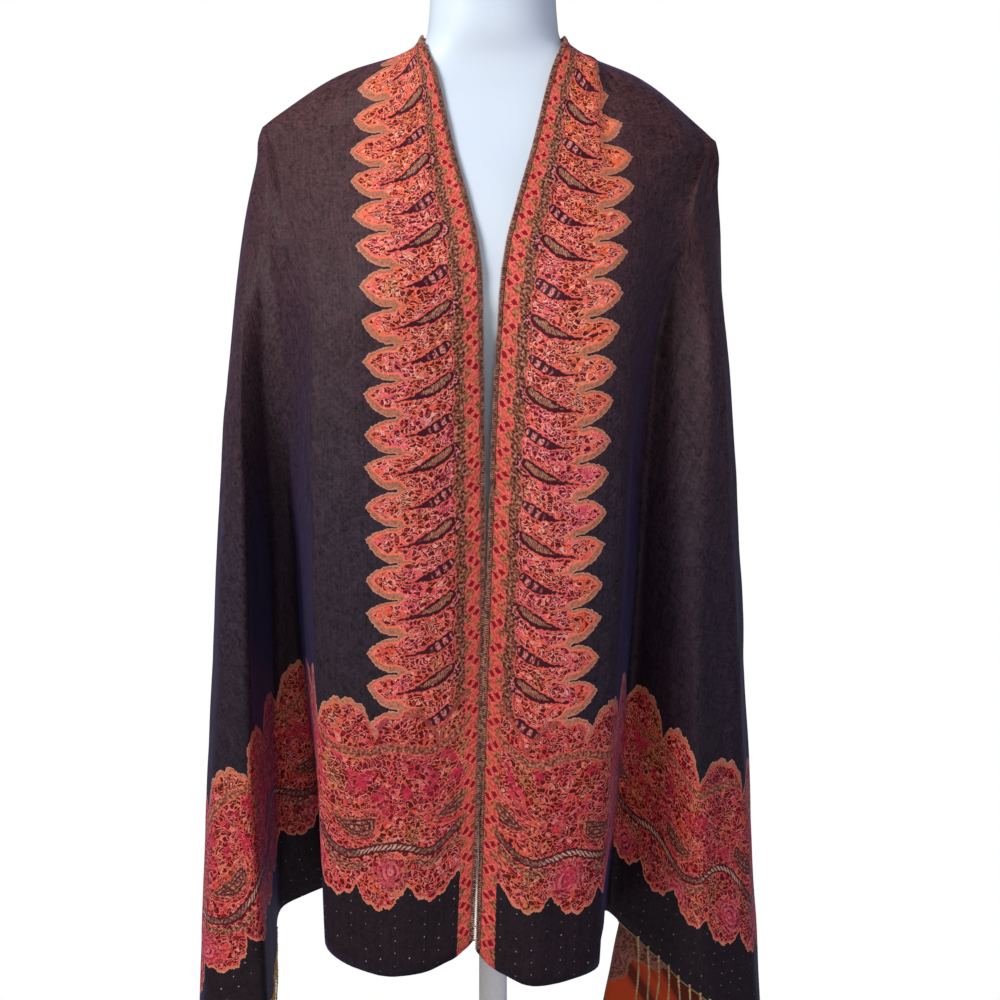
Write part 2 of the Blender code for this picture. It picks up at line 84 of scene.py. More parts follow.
# The shoulder line of each side, from the neck to the shoulder's end, and where it is read to round it
RIDGE_TAPS = (-0.018, -0.009, 0.0, 0.009, 0.018)
RIDGE_COLUMNS = ("a", "x", "z", "b")
RIDGE = {
    "left": (
        (0.00, -0.0600, 1.3720, 0.085),
        (0.03, -0.0800, 1.3570, 0.083),
        (0.06, -0.1020, 1.3510, 0.084),
        (0.10, -0.1380, 1.3400, 0.098),
        (0.14, -0.1740, 1.3170, 0.140),
        (0.17, -0.2010, 1.2960, 0.192),
    ),
    "right": (
        (0.00, 0.0620, 1.3720, 0.076),
        (0.03, 0.0820, 1.3560, 0.070),
        (0.06, 0.1040, 1.3480, 0.074),
        (0.10, 0.1360, 1.3350, 0.100),
        (0.14, 0.1700, 1.3070, 0.145),
        (0.17, 0.1930, 1.2830, 0.195),
    ),
}

# A row for each fold or flat of the hanging cloth: its distance along the chain from the front
# corner, its plan place at bust, waist and hem, how softly it turns, and how much more cloth has
# slipped forward over the shoulder there
FOLD_COLUMNS = ("name", "along", "bust_x", "bust_y", "waist_x", "waist_y", "hem_x", "hem_y", "soft", "slack")
FOLDS = {
    "left": (
        ("front_edge", 0.000, -0.0095, -0.121, -0.0068, -0.128, -0.0165, -0.136, 0.012, 0.0),
        ("front_middle", 0.060, -0.066, -0.137, -0.062, -0.140, -0.066, -0.146, 0.020, 0.0),
        ("border_edge", 0.105, -0.111, -0.136, -0.107, -0.138, -0.104, -0.140, 0.020, 0.0),
        ("front_fold", 0.148, -0.151, -0.118, -0.148, -0.128, -0.141, -0.122, 0.014, 0.0),
        ("valley_inner", 0.320, -0.181, -0.072, -0.176, 0.000, -0.148, 0.056, 0.020, 0.0),
        ("valley_outer", 0.375, -0.198, -0.070, -0.198, 0.000, -0.199, 0.052, 0.020, 0.0),
        ("side_fold_inner", 0.520, -0.216, -0.086, -0.210, -0.084, -0.190, -0.090, 0.020, 0.0),
        ("side_fold_outer", 0.580, -0.226, -0.072, -0.238, -0.066, -0.249, -0.078, 0.020, 0.0),
        ("side", 0.630, -0.233, -0.054, -0.249, -0.030, -0.261, -0.035, 0.020, 0.0),
        ("corner", 0.710, -0.238, -0.025, -0.255, 0.020, -0.270, 0.040, 0.020, 0.0),
        ("flute_1_crest", 0.900, -0.241, 0.042, -0.262, 0.120, -0.285, 0.180, 0.030, 0.0),
        ("flute_1_trough", 1.040, -0.222, 0.050, -0.222, 0.080, -0.225, 0.090, 0.030, 0.0),
        ("flute_2_crest", 1.170, -0.226, 0.088, -0.238, 0.158, -0.252, 0.225, 0.030, 0.0),
        ("flute_2_trough", 1.290, -0.192, 0.100, -0.198, 0.115, -0.202, 0.135, 0.030, 0.0),
        ("flute_3_crest", 1.375, -0.168, 0.130, -0.168, 0.165, -0.170, 0.215, 0.030, 0.0),
        ("flute_3_trough", 1.450, -0.132, 0.124, -0.128, 0.136, -0.122, 0.152, 0.030, 0.0),
        ("back_crest", 1.530, -0.072, 0.138, -0.072, 0.155, -0.068, 0.178, 0.040, 0.0),
        ("back_middle", 1.600, -0.014, 0.130, -0.014, 0.142, -0.014, 0.150, 0.040, 0.0),
    ),
    "right": (
        ("front_edge", 0.000, 0.0065, -0.121, -0.0045, -0.128, -0.0140, -0.134, 0.012, 0.0),
        ("front_middle", 0.050, 0.055, -0.136, 0.042, -0.137, 0.032, -0.143, 0.020, 0.0),
        ("border_edge", 0.095, 0.099, -0.134, 0.083, -0.132, 0.070, -0.136, 0.020, 0.0),
        ("front_fold", 0.118, 0.118, -0.122, 0.105, -0.121, 0.089, -0.122, 0.014, 0.0),
        ("valley", 0.225, 0.138, -0.072, 0.126, -0.042, 0.101, -0.010, 0.016, 0.0),
        ("oblique_fold", 0.365, 0.184, -0.098, 0.174, -0.086, 0.184, -0.055, 0.020, 0.042),
        ("side_fold", 0.450, 0.198, -0.085, 0.212, -0.056, 0.236, -0.028, 0.020, 0.036),
        ("side", 0.530, 0.208, -0.060, 0.227, -0.010, 0.246, 0.042, 0.025, 0.018),
        ("return_fold", 0.660, 0.203, -0.006, 0.160, 0.052, 0.094, 0.098, 0.020, 0.0),
        ("corner", 0.710, 0.204, 0.012, 0.166, 0.080, 0.104, 0.140, 0.020, 0.0),
        ("flute_1_crest", 0.865, 0.216, 0.050, 0.231, 0.120, 0.244, 0.195, 0.030, 0.0),
        ("flute_1_trough", 0.990, 0.202, 0.080, 0.176, 0.125, 0.148, 0.188, 0.030, 0.0),
        ("flute_2_crest", 1.130, 0.196, 0.110, 0.212, 0.178, 0.232, 0.250, 0.030, 0.0),
        ("flute_2_trough", 1.270, 0.168, 0.115, 0.152, 0.143, 0.142, 0.185, 0.030, 0.0),
        ("flute_3_crest", 1.370, 0.150, 0.134, 0.145, 0.172, 0.152, 0.230, 0.030, 0.0),
        ("flute_3_trough", 1.450, 0.118, 0.126, 0.108, 0.142, 0.105, 0.160, 0.030, 0.0),
        ("back_crest", 1.530, 0.072, 0.138, 0.066, 0.155, 0.066, 0.178, 0.040, 0.0),
        ("back_middle", 1.600, 0.014, 0.130, 0.014, 0.142, 0.014, 0.150, 0.040, 0.0),
    ),
}

# Where the fringe of each end starts, along the chain
FRINGE_START = {"left": 0.400, "right": 0.240}

# Dress form: level sections of the torso and neck
FORM_COLUMNS = ("z", "half_width", "front", "back")
FORM = (
    (0.865, 0.118, 0.070, 0.072),
    (0.872, 0.132, 0.080, 0.082),
    (0.890, 0.138, 0.084, 0.086),
    (0.940, 0.130, 0.082, 0.080),
    (0.985, 0.126, 0.083, 0.080),
    (1.030, 0.136, 0.094, 0.086),
    (1.080, 0.150, 0.108, 0.095),
    (1.125, 0.160, 0.116, 0.101),
    (1.170, 0.166, 0.112, 0.105),
    (1.210, 0.170, 0.096, 0.105),
    (1.245, 0.177, 0.080, 0.098),
    (1.268, 0.181, 0.066, 0.087),
    (1.284, 0.176, 0.056, 0.077),
    (1.300, 0.164, 0.050, 0.070),
    (1.315, 0.148, 0.046, 0.065),
    (1.330, 0.124, 0.045, 0.062),
    (1.342, 0.096, 0.044, 0.060),
    (1.354, 0.070, 0.047, 0.059),
    (1.368, 0.0595, 0.052, 0.057),
    (1.400, 0.0565, 0.054, 0.055),
    (1.452, 0.0560, 0.055, 0.055),
    (1.460, 0.0500, 0.049, 0.049),
)
FORM_POWER = 2.25         # superellipse power of the sections
BUST_OUT = 0.020          # how far the bust stands out, its middles, and how wide and tall it is
BUST_X = 0.078
BUST_Z = 1.120
BUST_WIDE = 0.050
BUST_TALL = 0.055

# Stand, as (radius, z) outlines turned about the Z axis
BASE_OUTLINE = ((0.172, 0.0), (0.175, 0.003), (0.175, 0.009), (0.171, 0.013), (0.032, 0.016), (0.024, 0.030))
POLE_OUTLINE = ((0.0125, 0.0303), (0.0125, 0.852), (0.045, 0.856), (0.045, 0.8647))


# ---------------------------------------------------------------- drape

def table(rows, columns, name):
    """One named column of a table, as an array."""
    return np.array([row[columns.index(name)] for row in rows], float)


def ridge(side, name):
    return table(RIDGE[side], RIDGE_COLUMNS, name)


def ridge_at(side, name, a):
    """The shoulder line's value at a, with the corners between the table's rows rounded."""
    places, values = ridge(side, "a"), ridge(side, name)
    return sum(run_on(a + tap, places, values) / len(RIDGE_TAPS) for tap in RIDGE_TAPS)


def run_on(q, places, values):
    """Values at q between the places of a table. Past both its ends they go on as straight lines."""
    first = (values[1] - values[0]) / (places[1] - places[0])
    last = (values[-1] - values[-2]) / (places[-1] - places[-2])
    v = np.interp(q, places, values)
    v = np.where(q < places[0], values[0] + (q - places[0]) * first, v)
    return np.where(q > places[-1], values[-1] + (q - places[-1]) * last, v)


def form_section(name, z):
    return np.interp(z, table(FORM, FORM_COLUMNS, "z"), table(FORM, FORM_COLUMNS, name))


def bust(x, z):
    """How much the bust adds to the form's front at this x and z."""
    across = (np.abs(x) - BUST_X) / BUST_WIDE
    up = (z - BUST_Z) / BUST_TALL
    return BUST_OUT * np.exp(-across**2 - up**2)


def form_value(p):
    """Zero on the form's surface, below zero inside it."""
    x, y, z = p[..., 0], p[..., 1], p[..., 2]
    depth = np.where(y < 0, form_section("front", z) + bust(x, z), form_section("back", z))
    wide = np.abs(x / form_section("half_width", z)) ** FORM_POWER
    return (wide + np.abs(y / depth) ** FORM_POWER) ** (1 / FORM_POWER) - 1


def keep_clear(p, margin):
    """Moves points that are within margin of the form straight out from it."""
    step = 0.002
    for _ in range(3):
        ahead_and_back = [(form_value(p + step * axis), form_value(p - step * axis)) for axis in np.eye(3)]
        slope = np.stack([(ahead - back) / (2 * step) for ahead, back in ahead_and_back], axis=-1)
        steep = np.maximum(np.linalg.norm(slope, axis=-1, keepdims=True), TINY)
        short = margin - form_value(p)[..., None] / steep
        short = np.where(p[..., 2:3] > FORM[0][0], np.clip(short, 0, FARTHEST_PUSH), 0)
        p = p + slope / steep * short
    return p


def along_chain(side):
    """The chain place of each fold's row: below zero on the left, above on the right, 0 at centre back."""
    sign = -1 if side == "left" else 1
    return sign * (END - table(FOLDS[side], FOLD_COLUMNS, "along"))


def chain_column(name):
    """A column of the fold table for the whole chain, from the left front corner to the right one."""
    left = table(FOLDS["left"], FOLD_COLUMNS, name)
    right = table(FOLDS["right"], FOLD_COLUMNS, name)
    return np.concatenate([left, right[::-1]])


def chain_places():
    return np.concatenate([along_chain("left"), along_chain("right")[::-1]])


def softened(c, values):
    """The fold table's values along the chain, with each corner turned softly."""
    places = chain_places()
    soft = np.interp(c, places, chain_column("soft"))
    taps = np.linspace(-1, 1, SOFT_TAPS)
    weights = 1 - SOFT_FALL * np.abs(taps)
    weights = weights / weights.sum()
    return sum(weight * run_on(c + tap * soft, places, values) for tap, weight in zip(taps, weights))


def column_starts(c):
    """Where each column leaves the shoulders or the back of the neck, and the cloth point (a, b) there."""
    along = END - np.abs(c)
    back = np.clip((along - NECK_START) / (FAN_END - NECK_START), 0, 1) * SHOULDER_A
    a = np.where(along < SHOULDER_A, along, np.where(along > FAN_END, back, SHOULDER_A))
    start = np.zeros(c.shape + (3,))
    b = np.zeros_like(c)
    turn = np.clip((END - along) / (END - NECK_START), 0, 1)
    for side, mine in (("left", c < 0), ("right", c >= 0)):
        neck = mine & (along > NECK_START)
        start[mine, 0] = ridge_at(side, "x", a[mine])
        start[mine, 2] = ridge_at(side, "z", a[mine])
        b[mine] = ridge_at(side, "b", a[mine])
        start[neck, 0] = ridge(side, "x")[0] * np.sin(turn[neck] * np.pi / 2)
        start[neck, 1] = NECK_BACK_Y * np.cos(turn[neck] * np.pi / 2)
        start[neck, 2] = ridge(side, "z")[0] + NECK_BACK_RISE * np.cos(turn[neck] * np.pi / 2)
        b[neck] = ridge(side, "b")[0] * turn[neck]
    b = b - softened(c, chain_column("slack"))
    return start, a, b


def column_ends(c):
    """The cloth point (a, b) at the lower edge of each column."""
    along = END - np.abs(c)
    return np.minimum(along, WIDTH), np.where(along > WIDTH, END - along, HALF)


def through_levels(values, share):
    """A monotone cubic down each column through its stated levels."""
    levels = np.array(LEVELS)
    step = np.diff(levels)[:, None]
    rise = np.diff(values, axis=0) / step
    slope = np.zeros_like(values)
    for k in range(1, len(levels) - 1):
        heavy, light = 2 * step[k] + step[k - 1], step[k] + 2 * step[k - 1]
        same = rise[k - 1] * rise[k] > 0
        one = np.where(same, rise[k - 1], 1.0)
        two = np.where(same, rise[k], 1.0)
        slope[k] = np.where(same, (heavy + light) / (heavy / one + light / two), 0)
    slope[0] = 1.5 * rise[0] - 0.5 * slope[1]
    slope[-1] = 1.5 * rise[-1] - 0.5 * slope[-2]
    out = np.zeros((values.shape[1], len(share)))
    part = np.clip(np.searchsorted(levels, share, side="right") - 1, 0, len(levels) - 2)
    for k in range(len(levels) - 1):
        s = ((share - levels[k]) / step[k])[None, :]
        low, high = values[k][:, None], values[k + 1][:, None]
        low_slope, high_slope = slope[k][:, None] * step[k], slope[k + 1][:, None] * step[k]
        curve = (1 + 2 * s) * (1 - s) ** 2 * low + s * (1 - s) ** 2 * low_slope
        curve = curve + s * s * (3 - 2 * s) * high + s * s * (s - 1) * high_slope
        out = np.where(part[None, :] == k, curve, out)
    return out


def smooth_level(c, start, bust):
    """Plan of the cloth just below the shoulders. A fan from the shoulder's end goes round it evenly."""
    toward = np.array([SHOULDER_SHARE_X, SHOULDER_SHARE_Y])
    out = start[:, :2] + (bust - start[:, :2]) * toward
    along = END - np.abs(c)
    for side, sign in (("left", -1), ("right", 1)):
        ends = sign * (END - np.array([SHOULDER_A, FAN_END]))
        tip = np.array([ridge(side, "x")[-1], 0.0])
        low = np.stack([softened(ends, chain_column("bust_" + axis)) for axis in "xy"], axis=-1)
        front, back = tip + (low - tip) * toward
        fan = (sign * c > 0) & (along > SHOULDER_A) & (along < FAN_END)
        turn = (along[fan] - SHOULDER_A) / (FAN_END - SHOULDER_A)
        out[fan, 0] = front[0] + (back[0] - front[0]) * turn
        out[fan, 0] += sign * SIDE_BULGE[side] * np.sin(np.pi * turn)
        out[fan, 1] = (front[1] + back[1]) / 2 + (front[1] - back[1]) / 2 * np.cos(np.pi * turn)
    return out


def drape(c, rows):
    """The hung cloth: points (columns, rows, 3), for chain places c and shares of column length rows."""
    start, a0, b0 = column_starts(c)
    a1, b1 = column_ends(c)
    length = np.hypot(a1 - a0, b1 - b0)
    along = END - np.abs(c)
    stated = [np.stack([softened(c, chain_column(level + "_" + axis)) for axis in "xy"], axis=-1)
              for level in ("bust", "waist", "hem")]
    levels = np.array([start[:, :2], smooth_level(c, start, stated[0])] + stated)
    plan = levels[:, :, 0], levels[:, :, 1]
    out_x, out_y = plan[0][1] - plan[0][0], plan[1][1] - plan[1][0]
    reach = np.hypot(out_x, out_y) + TINY
    cap = CAP_RADIUS * (1 - CAP_LESS_AT_NECK * np.clip((along - NECK_START) / CAP_NECK_FADE, 0, 1))
    into_fan = np.minimum(along - SHOULDER_A, FAN_END - along) / CAP_FADE
    cap = cap * (1 - CAP_LESS_IN_FAN * np.clip(1 + into_fan, 0, 1))
    share = np.linspace(0, 1, COLUMN_POINTS) ** COLUMN_CLOSER
    line_x, line_y = through_levels(plan[0], share), through_levels(plan[1], share)
    fade = np.clip(1 - share / LEVELS[2], 0, 1) ** 2
    drop = length.copy()
    for _ in range(SETTLE_ROUNDS):
        down = drop[:, None] * share
        bulge = np.sqrt(np.maximum(cap[:, None] ** 2 - np.maximum(cap[:, None] - down, 0) ** 2, 0)) * fade
        x = line_x + (out_x / reach)[:, None] * bulge
        y = line_y + (out_y / reach)[:, None] * bulge
        p = keep_clear(np.stack([x, y, start[:, 2:3] - down], axis=-1), CLEAR)
        pieces = np.linalg.norm(np.diff(p, axis=1), axis=2)
        drop = drop - SETTLE_SHARE * (pieces.sum(1) - length)
    run = np.concatenate([np.zeros((len(c), 1)), np.cumsum(pieces, 1)], 1)
    run = run / run[:, -1:]
    q = np.empty((len(c), len(rows), 3))
    for i in range(len(c)):
        for k in range(3):
            q[i, :, k] = np.interp(rows, run[i], p[i, :, k])
    return q


# ---------------------------------------------------------------- finer shape of the hung cloth

CLOTH_THICK = 0.0012

# The mesh's columns: up to this distance from a front corner, along the chain, they lie this close together
COLUMN_STEPS = ((0.46, 0.0052), (0.80, 0.0062), (END, 0.0095))
NECK_STEP = 0.0057        # behind the neck
# Its rows: shares of a column at which the first ones lie, close over the shoulder, and their number
ROW_STARTS = (0.0, 0.004, 0.008, 0.013, 0.019, 0.026, 0.034, 0.043, 0.052)
ROW_COUNT = 84

# Cloth gathered towards the neck edge on the shoulders: how much more of a lies there than the line is long
GATHER_ALONG = (0.0, 0.03, 0.06, 0.10, 0.14, 0.17)
GATHER_MORE = {
    "left": (0.0, 0.062, 0.058, 0.036, 0.012, 0.0),
    "right": (0.0, 0.022, 0.030, 0.022, 0.010, 0.0),
}
GATHER_FADE = 14          # power by which it is lost down a column

# Tuck beside the neck on the right shoulder, where the cloth laps over itself: the line's x and z at its top
# and its end, how much cloth the lap hides at the top, and how far to the side the rest makes up for it
TUCK_X = (0.0915, 0.0965)
TUCK_Z = (1.345, 1.235)
TUCK_HIDES = 0.050
TUCK_REACH = 0.095
TUCK_SOFT = 0.004         # width of the lap's turn
TUCK_FADE = 1.3

# Creases: which face they are on, their ends as seen square to it (x, z and x, z), half-width, and height
# (below zero is a trough)
CREASES = (
    # pressed and package creases of the front
    ("front", -0.205, 1.245, -0.214, 1.110, 0.0045, -0.0016),
    ("front", -0.214, 1.110, -0.236, 0.965, 0.0045, -0.0016),
    ("front", -0.236, 0.965, -0.245, 0.895, 0.0050, -0.0012),
    ("front", -0.212, 0.944, -0.175, 0.972, 0.0045, -0.0018),
    ("front", 0.133, 0.948, 0.215, 0.930, 0.0050, -0.0018),
    ("front", -0.130, 1.008, 0.000, 1.013, 0.0065, -0.0036),
    ("front", -0.120, 0.966, 0.105, 0.971, 0.0065, -0.0040),
    ("front", -0.130, 0.940, -0.010, 0.946, 0.0065, -0.0024),
    ("front", 0.010, 0.920, 0.112, 0.926, 0.0065, -0.0028),
    # pull folds out from the neck over the shoulders
    ("front", -0.090, 1.330, -0.145, 1.300, 0.0070, 0.0022),
    ("front", -0.098, 1.316, -0.160, 1.268, 0.0070, -0.0020),
    ("front", -0.086, 1.300, -0.128, 1.235, 0.0080, 0.0018),
    ("front", 0.0980, 1.370, 0.1010, 1.235, 0.0052, -0.0060),
    ("front", 0.0875, 1.370, 0.0920, 1.240, 0.0060, 0.0036),
    ("front", 0.120, 1.318, 0.160, 1.262, 0.0080, -0.0020),
    ("front", 0.070, 1.290, 0.074, 1.190, 0.0080, 0.0016),
    ("front", -0.058, 1.280, -0.062, 1.160, 0.0080, 0.0014),
    # soft hanging ridges and troughs
    ("front", -0.150, 1.130, -0.157, 0.760, 0.0120, 0.0030),
    ("front", -0.128, 0.860, -0.132, 0.610, 0.0100, 0.0016),
    ("front", -0.205, 1.060, -0.222, 0.640, 0.0110, 0.0032),
    ("front", -0.190, 0.960, -0.200, 0.620, 0.0080, -0.0026),
    ("front", 0.150, 1.170, 0.178, 0.760, 0.0120, 0.0028),
    ("front", 0.120, 1.060, 0.128, 0.700, 0.0100, -0.0030),
    ("front", 0.206, 0.960, 0.214, 0.640, 0.0110, 0.0026),
    ("front", 0.165, 1.255, 0.140, 1.110, 0.0120, -0.0022),
    ("front", 0.055, 0.760, 0.060, 0.590, 0.0100, -0.0012),
    ("front", -0.075, 0.720, -0.078, 0.580, 0.0110, 0.0012),
    # the same kinds on the back
    ("back", -0.120, 1.240, -0.100, 0.930, 0.0140, -0.0030),
    ("back", -0.050, 1.200, -0.045, 0.830, 0.0130, 0.0026),
    ("back", 0.020, 1.290, 0.030, 0.900, 0.0120, -0.0024),
    ("back", 0.095, 1.250, 0.110, 0.860, 0.0140, 0.0030),
    ("back", 0.150, 1.150, 0.160, 0.780, 0.0120, -0.0028),
    ("back", -0.165, 1.160, -0.180, 0.800, 0.0120, 0.0026),
    ("back", -0.110, 1.000, 0.100, 1.012, 0.0045, -0.0010),
    ("back", -0.090, 0.955, 0.120, 0.948, 0.0045, -0.0010),
    ("back", -0.080, 1.310, -0.150, 1.250, 0.0070, -0.0020),
    ("back", 0.085, 1.308, 0.150, 1.240, 0.0070, -0.0020),
)
CREASE_WANDER = 0.12      # how far a crease strays from its straight line, as a share of its half-width
CREASE_END = 0.30         # share of its length over which it starts and ends
FACING = 0.5              # a crease is full where the cloth faces its side at least this squarely
SIDE_Y = 0.020            # the fronts end this far behind the shoulders, and the back this far before them

# Unevenness of the hanging cloth: height, waves in a metre across and along, and where the noise is read
SLACK = ((0.0016, 26, 5.5, 1.7), (0.0006, 60, 17, 9.1))
SLACK_START = 0.25        # share of a column over which it grows

# Waves of the free hem and of the long edges: height, pitch, and how fast they are lost into the cloth
HEM_WAVE = (0.0007, 0.047, 0.020)
EDGE_WAVE = (0.0005, 0.038, 0.012)
HEM_DROP = 0.70           # length of a usual column, and of one along a long edge
EDGE_DROP = 0.75

# The cloth is fullest just under each shoulder's end: x where that begins and is full, z, how far it spreads
# above and below, and how far it stands out
SHOULDER_FULLNESS = (
    (-0.160, -0.204, 1.286, 0.017, -0.0050),
    (0.150, 0.198, 1.272, 0.024, 0.0060),
)
CORNER_ROUND = 0.0042     # how far the very corner is rounded down
FREE_START = 0.03         # share of a column over which creases and waves grow
PRESSED = 0.0015          # how much nearer than CLEAR a crease may come to the form
MERGED = 0.00002          # points closer than this are one, as where a fan of columns leaves one point


def columns_of_cloth():
    """Chain places of the mesh's columns, closest on the fronts and matched over the shoulders."""
    half = [0.0]
    while half[-1] < END - NECK_START:
        half.append(half[-1] + NECK_STEP)
    half[-1] = END - NECK_START
    ridge_steps = int(round(SHOULDER_A / COLUMN_STEPS[0][1]))
    across = (NECK_START - FAN_END) / ridge_steps
    half += [half[-1] + across * (k + 1) for k in range(ridge_steps)]
    reach = END - SHOULDER_A
    parts = []
    here = half[-1]
    while here < reach:
        step = next(step for reached, step in COLUMN_STEPS if END - here < reached)
        parts.append(step)
        here += step
    scale = (reach - half[-1]) / sum(parts)
    for step in parts:
        half.append(half[-1] + step * scale)
    half[-1] = reach
    half += [reach + SHOULDER_A * (k + 1) / ridge_steps for k in range(ridge_steps)]
    half = np.array(half)
    return np.concatenate([-half[:0:-1], half])


def rows_of_cloth():
    below = np.linspace(ROW_STARTS[-1], 1, ROW_COUNT - len(ROW_STARTS) + 1)
    return np.concatenate([ROW_STARTS[:-1], below])


def cloth_map(c, rows):
    """The cloth's own coordinates at each column and row: a across its width, b along its length."""
    _, a0, b0 = column_starts(c)
    a1, b1 = column_ends(c)
    left, right = [np.interp(a0, GATHER_ALONG, GATHER_MORE[side]) for side in ("left", "right")]
    along = END - np.abs(c)
    more = np.where((along < SHOULDER_A) | (along > FAN_END), np.where(c < 0, left, right), 0)
    a = a0[:, None] + (a1 - a0)[:, None] * rows + more[:, None] * (1 - rows[None, :]) ** GATHER_FADE
    b = (b0[:, None] + (b1 - b0)[:, None] * rows) * np.where(c < 0, -1, 1)[:, None]
    return a, b


def tucked(p):
    """How much of the cloth's width is hidden by the tuck, up to each point."""
    down = np.clip((TUCK_Z[0] - p[..., 2]) / (TUCK_Z[0] - TUCK_Z[1]), 0, 1)
    off = p[..., 0] - TUCK_X[0] - (TUCK_X[1] - TUCK_X[0]) * down
    lap = np.clip(off / TUCK_SOFT + 0.5, 0, 1)
    return TUCK_HIDES * (1 - down) ** TUCK_FADE * lap * np.clip(1 - off / TUCK_REACH, 0, 1)


def sheet_normals(p):
    """Outward normals of a grid of points (columns, rows, 3)."""
    across = np.gradient(p, axis=0)
    down = np.gradient(p, axis=1)
    down[:, 0] = p[:, 2] - p[:, 0]
    n = np.cross(across, down)
    n[:, 0] = n[:, 1]
    return n / np.maximum(np.linalg.norm(n, axis=-1, keepdims=True), TINY)


def crease_height(p, n):
    """How far the creases push the cloth out at each point."""
    out = np.zeros(p.shape[:2])
    for face, x0, z0, x1, z1, wide, deep in CREASES:
        sign = -1 if face == "front" else 1
        shown = np.clip(sign * n[..., 1] / FACING, 0, 1) * (sign * p[..., 1] > -SIDE_Y)
        line = np.array([x1 - x0, z1 - z0])
        length = np.hypot(*line)
        line = line / length
        dx, dz = p[..., 0] - x0, p[..., 2] - z0
        run = (dx * line[0] + dz * line[1]) / length
        stray = CREASE_WANDER * wide * np.sin(9 * run + 40 * x0)
        off = dx * line[1] - dz * line[0] + stray
        ends = np.clip(np.minimum(run, 1 - run) / CREASE_END, 0, 1)
        ends = ends * ends * (3 - 2 * ends)
        out += deep * shown * ends * np.exp(-(off / wide) ** 2)
    return out


def slack_height(a, b, rows):
    """Small unevenness of the hanging cloth, long in the direction it hangs and less near the shoulders."""
    out = np.zeros(a.shape)
    for height, across, along, seed in SLACK:
        for place in np.ndindex(a.shape):
            out[place] += height * noise.noise(Vector((a[place] * across, b[place] * along, seed)))
    return out * np.clip(rows / SLACK_START, 0, 1)


def edge_ripple(a, c, rows):
    """The long edges and the free hems are a little wavy, because the yarns there pull unevenly."""
    c, rows = c[:, None], rows[None, :]
    high, pitch, fade = HEM_WAVE
    hem = high * np.exp(-(1 - rows) * HEM_DROP / fade) * np.sin(c * 2 * np.pi / pitch + 2 * np.sin(c * 23))
    high, pitch, fade = EDGE_WAVE
    near = np.exp(-np.minimum(a, WIDTH - a) / fade)
    return hem + high * near * np.sin(rows * 2 * np.pi * EDGE_DROP / pitch + 3 * np.sin(rows * 17))


def full_shoulders(p):
    """The cloth's points, standing out a little under the shoulders' ends and rounded at the very corner."""
    p = p.copy()
    for begin, full, middle, spread, outward in SHOULDER_FULLNESS:
        near = np.clip((p[..., 0] - begin) / (full - begin), 0, 1) ** 2
        level = np.exp(-((p[..., 2] - middle) / spread) ** 2)
        p[..., 0] += outward * near * level
        p[..., 2] -= CORNER_ROUND * near ** 4 * level
    return p


def hung_cloth():
    """The hung cloth's grid: chain places, rows, points, normals, and the cloth's own a and b."""
    c, rows = columns_of_cloth(), rows_of_cloth()
    p = drape(c, rows)
    n = sheet_normals(p)
    a, b = cloth_map(c, rows)
    a = a + tucked(p)
    free = np.clip(rows / FREE_START, 0, 1)[None, :]
    height = (crease_height(p, n) + slack_height(a, b, rows) + edge_ripple(a, c, rows)) * free
    p = full_shoulders(p + n * height[..., None])
    p = keep_clear(p, CLEAR - PRESSED)
    return {"c": c, "rows": rows, "p": p, "n": sheet_normals(p), "a": a, "b": b}


def shawl_mesh(cloth, face, reverse):
    """The shawl as one closed sheet, from a flat grid whose points are moved to where the cloth hangs."""
    p, columns, rows = cloth["p"], len(cloth["c"]), len(cloth["rows"])
    bm = bmesh.new()
    bmesh.ops.create_grid(bm, x_segments=columns - 1, y_segments=rows - 1, size=0.5)
    bm.verts.ensure_lookup_table()
    uv = bm.loops.layers.uv.new("cloth")
    place = {v: (round((v.co.x + 0.5) * (columns - 1)), round((v.co.y + 0.5) * (rows - 1)))
             for v in bm.verts}
    for f in bm.faces:
        for loop in f.loops:
            at = place[loop.vert]
            loop[uv].uv = (cloth["a"][at], cloth["b"][at])
    for v, at in place.items():
        v.co = p[at]
    bmesh.ops.remove_doubles(bm, verts=bm.verts, dist=MERGED)
    bmesh.ops.dissolve_degenerate(bm, edges=bm.edges, dist=MERGED / 4)
    bmesh.ops.recalc_face_normals(bm, faces=bm.faces)
    front = min(bm.faces, key=lambda f: f.calc_center_median().y)
    if front.normal.y > 0:
        bmesh.ops.reverse_faces(bm, faces=bm.faces)
    obj = object_from(bm, "shawl", face, reverse)
    wall = obj.modifiers.new("thickness", "SOLIDIFY")
    wall.thickness = CLOTH_THICK
    wall.offset = -1
    wall.material_offset = 1
    wall.material_offset_rim = 1
    return obj


def object_from(bm, name, *materials):
    mesh = bpy.data.meshes.new(name)
    bm.to_mesh(mesh)
    bm.free()
    return finished(mesh, name, *materials)


def finished(mesh, name, *materials):
    """A smooth object with its materials, made from a mesh that is in its place."""
    for polygon in mesh.polygons:
        polygon.use_smooth = True
    for material in materials:
        mesh.materials.append(material)
    obj = bpy.data.objects.new(name, mesh)
    bpy.context.scene.collection.objects.link(obj)
    return obj


# ---------------------------------------------------------------- threads along the edges, and the fringe

STITCH_PITCH = 0.0015
STITCH_REACH = 0.0030     # how far into the cloth a stitch goes
STITCH_RADIUS = 0.00045
LOOPER_RADIUS = 0.0004
STITCH_START = 0.0008     # the first and the last one lie this far from the corners
LIFT = 0.0003             # a thread's middle above the face that it lies on

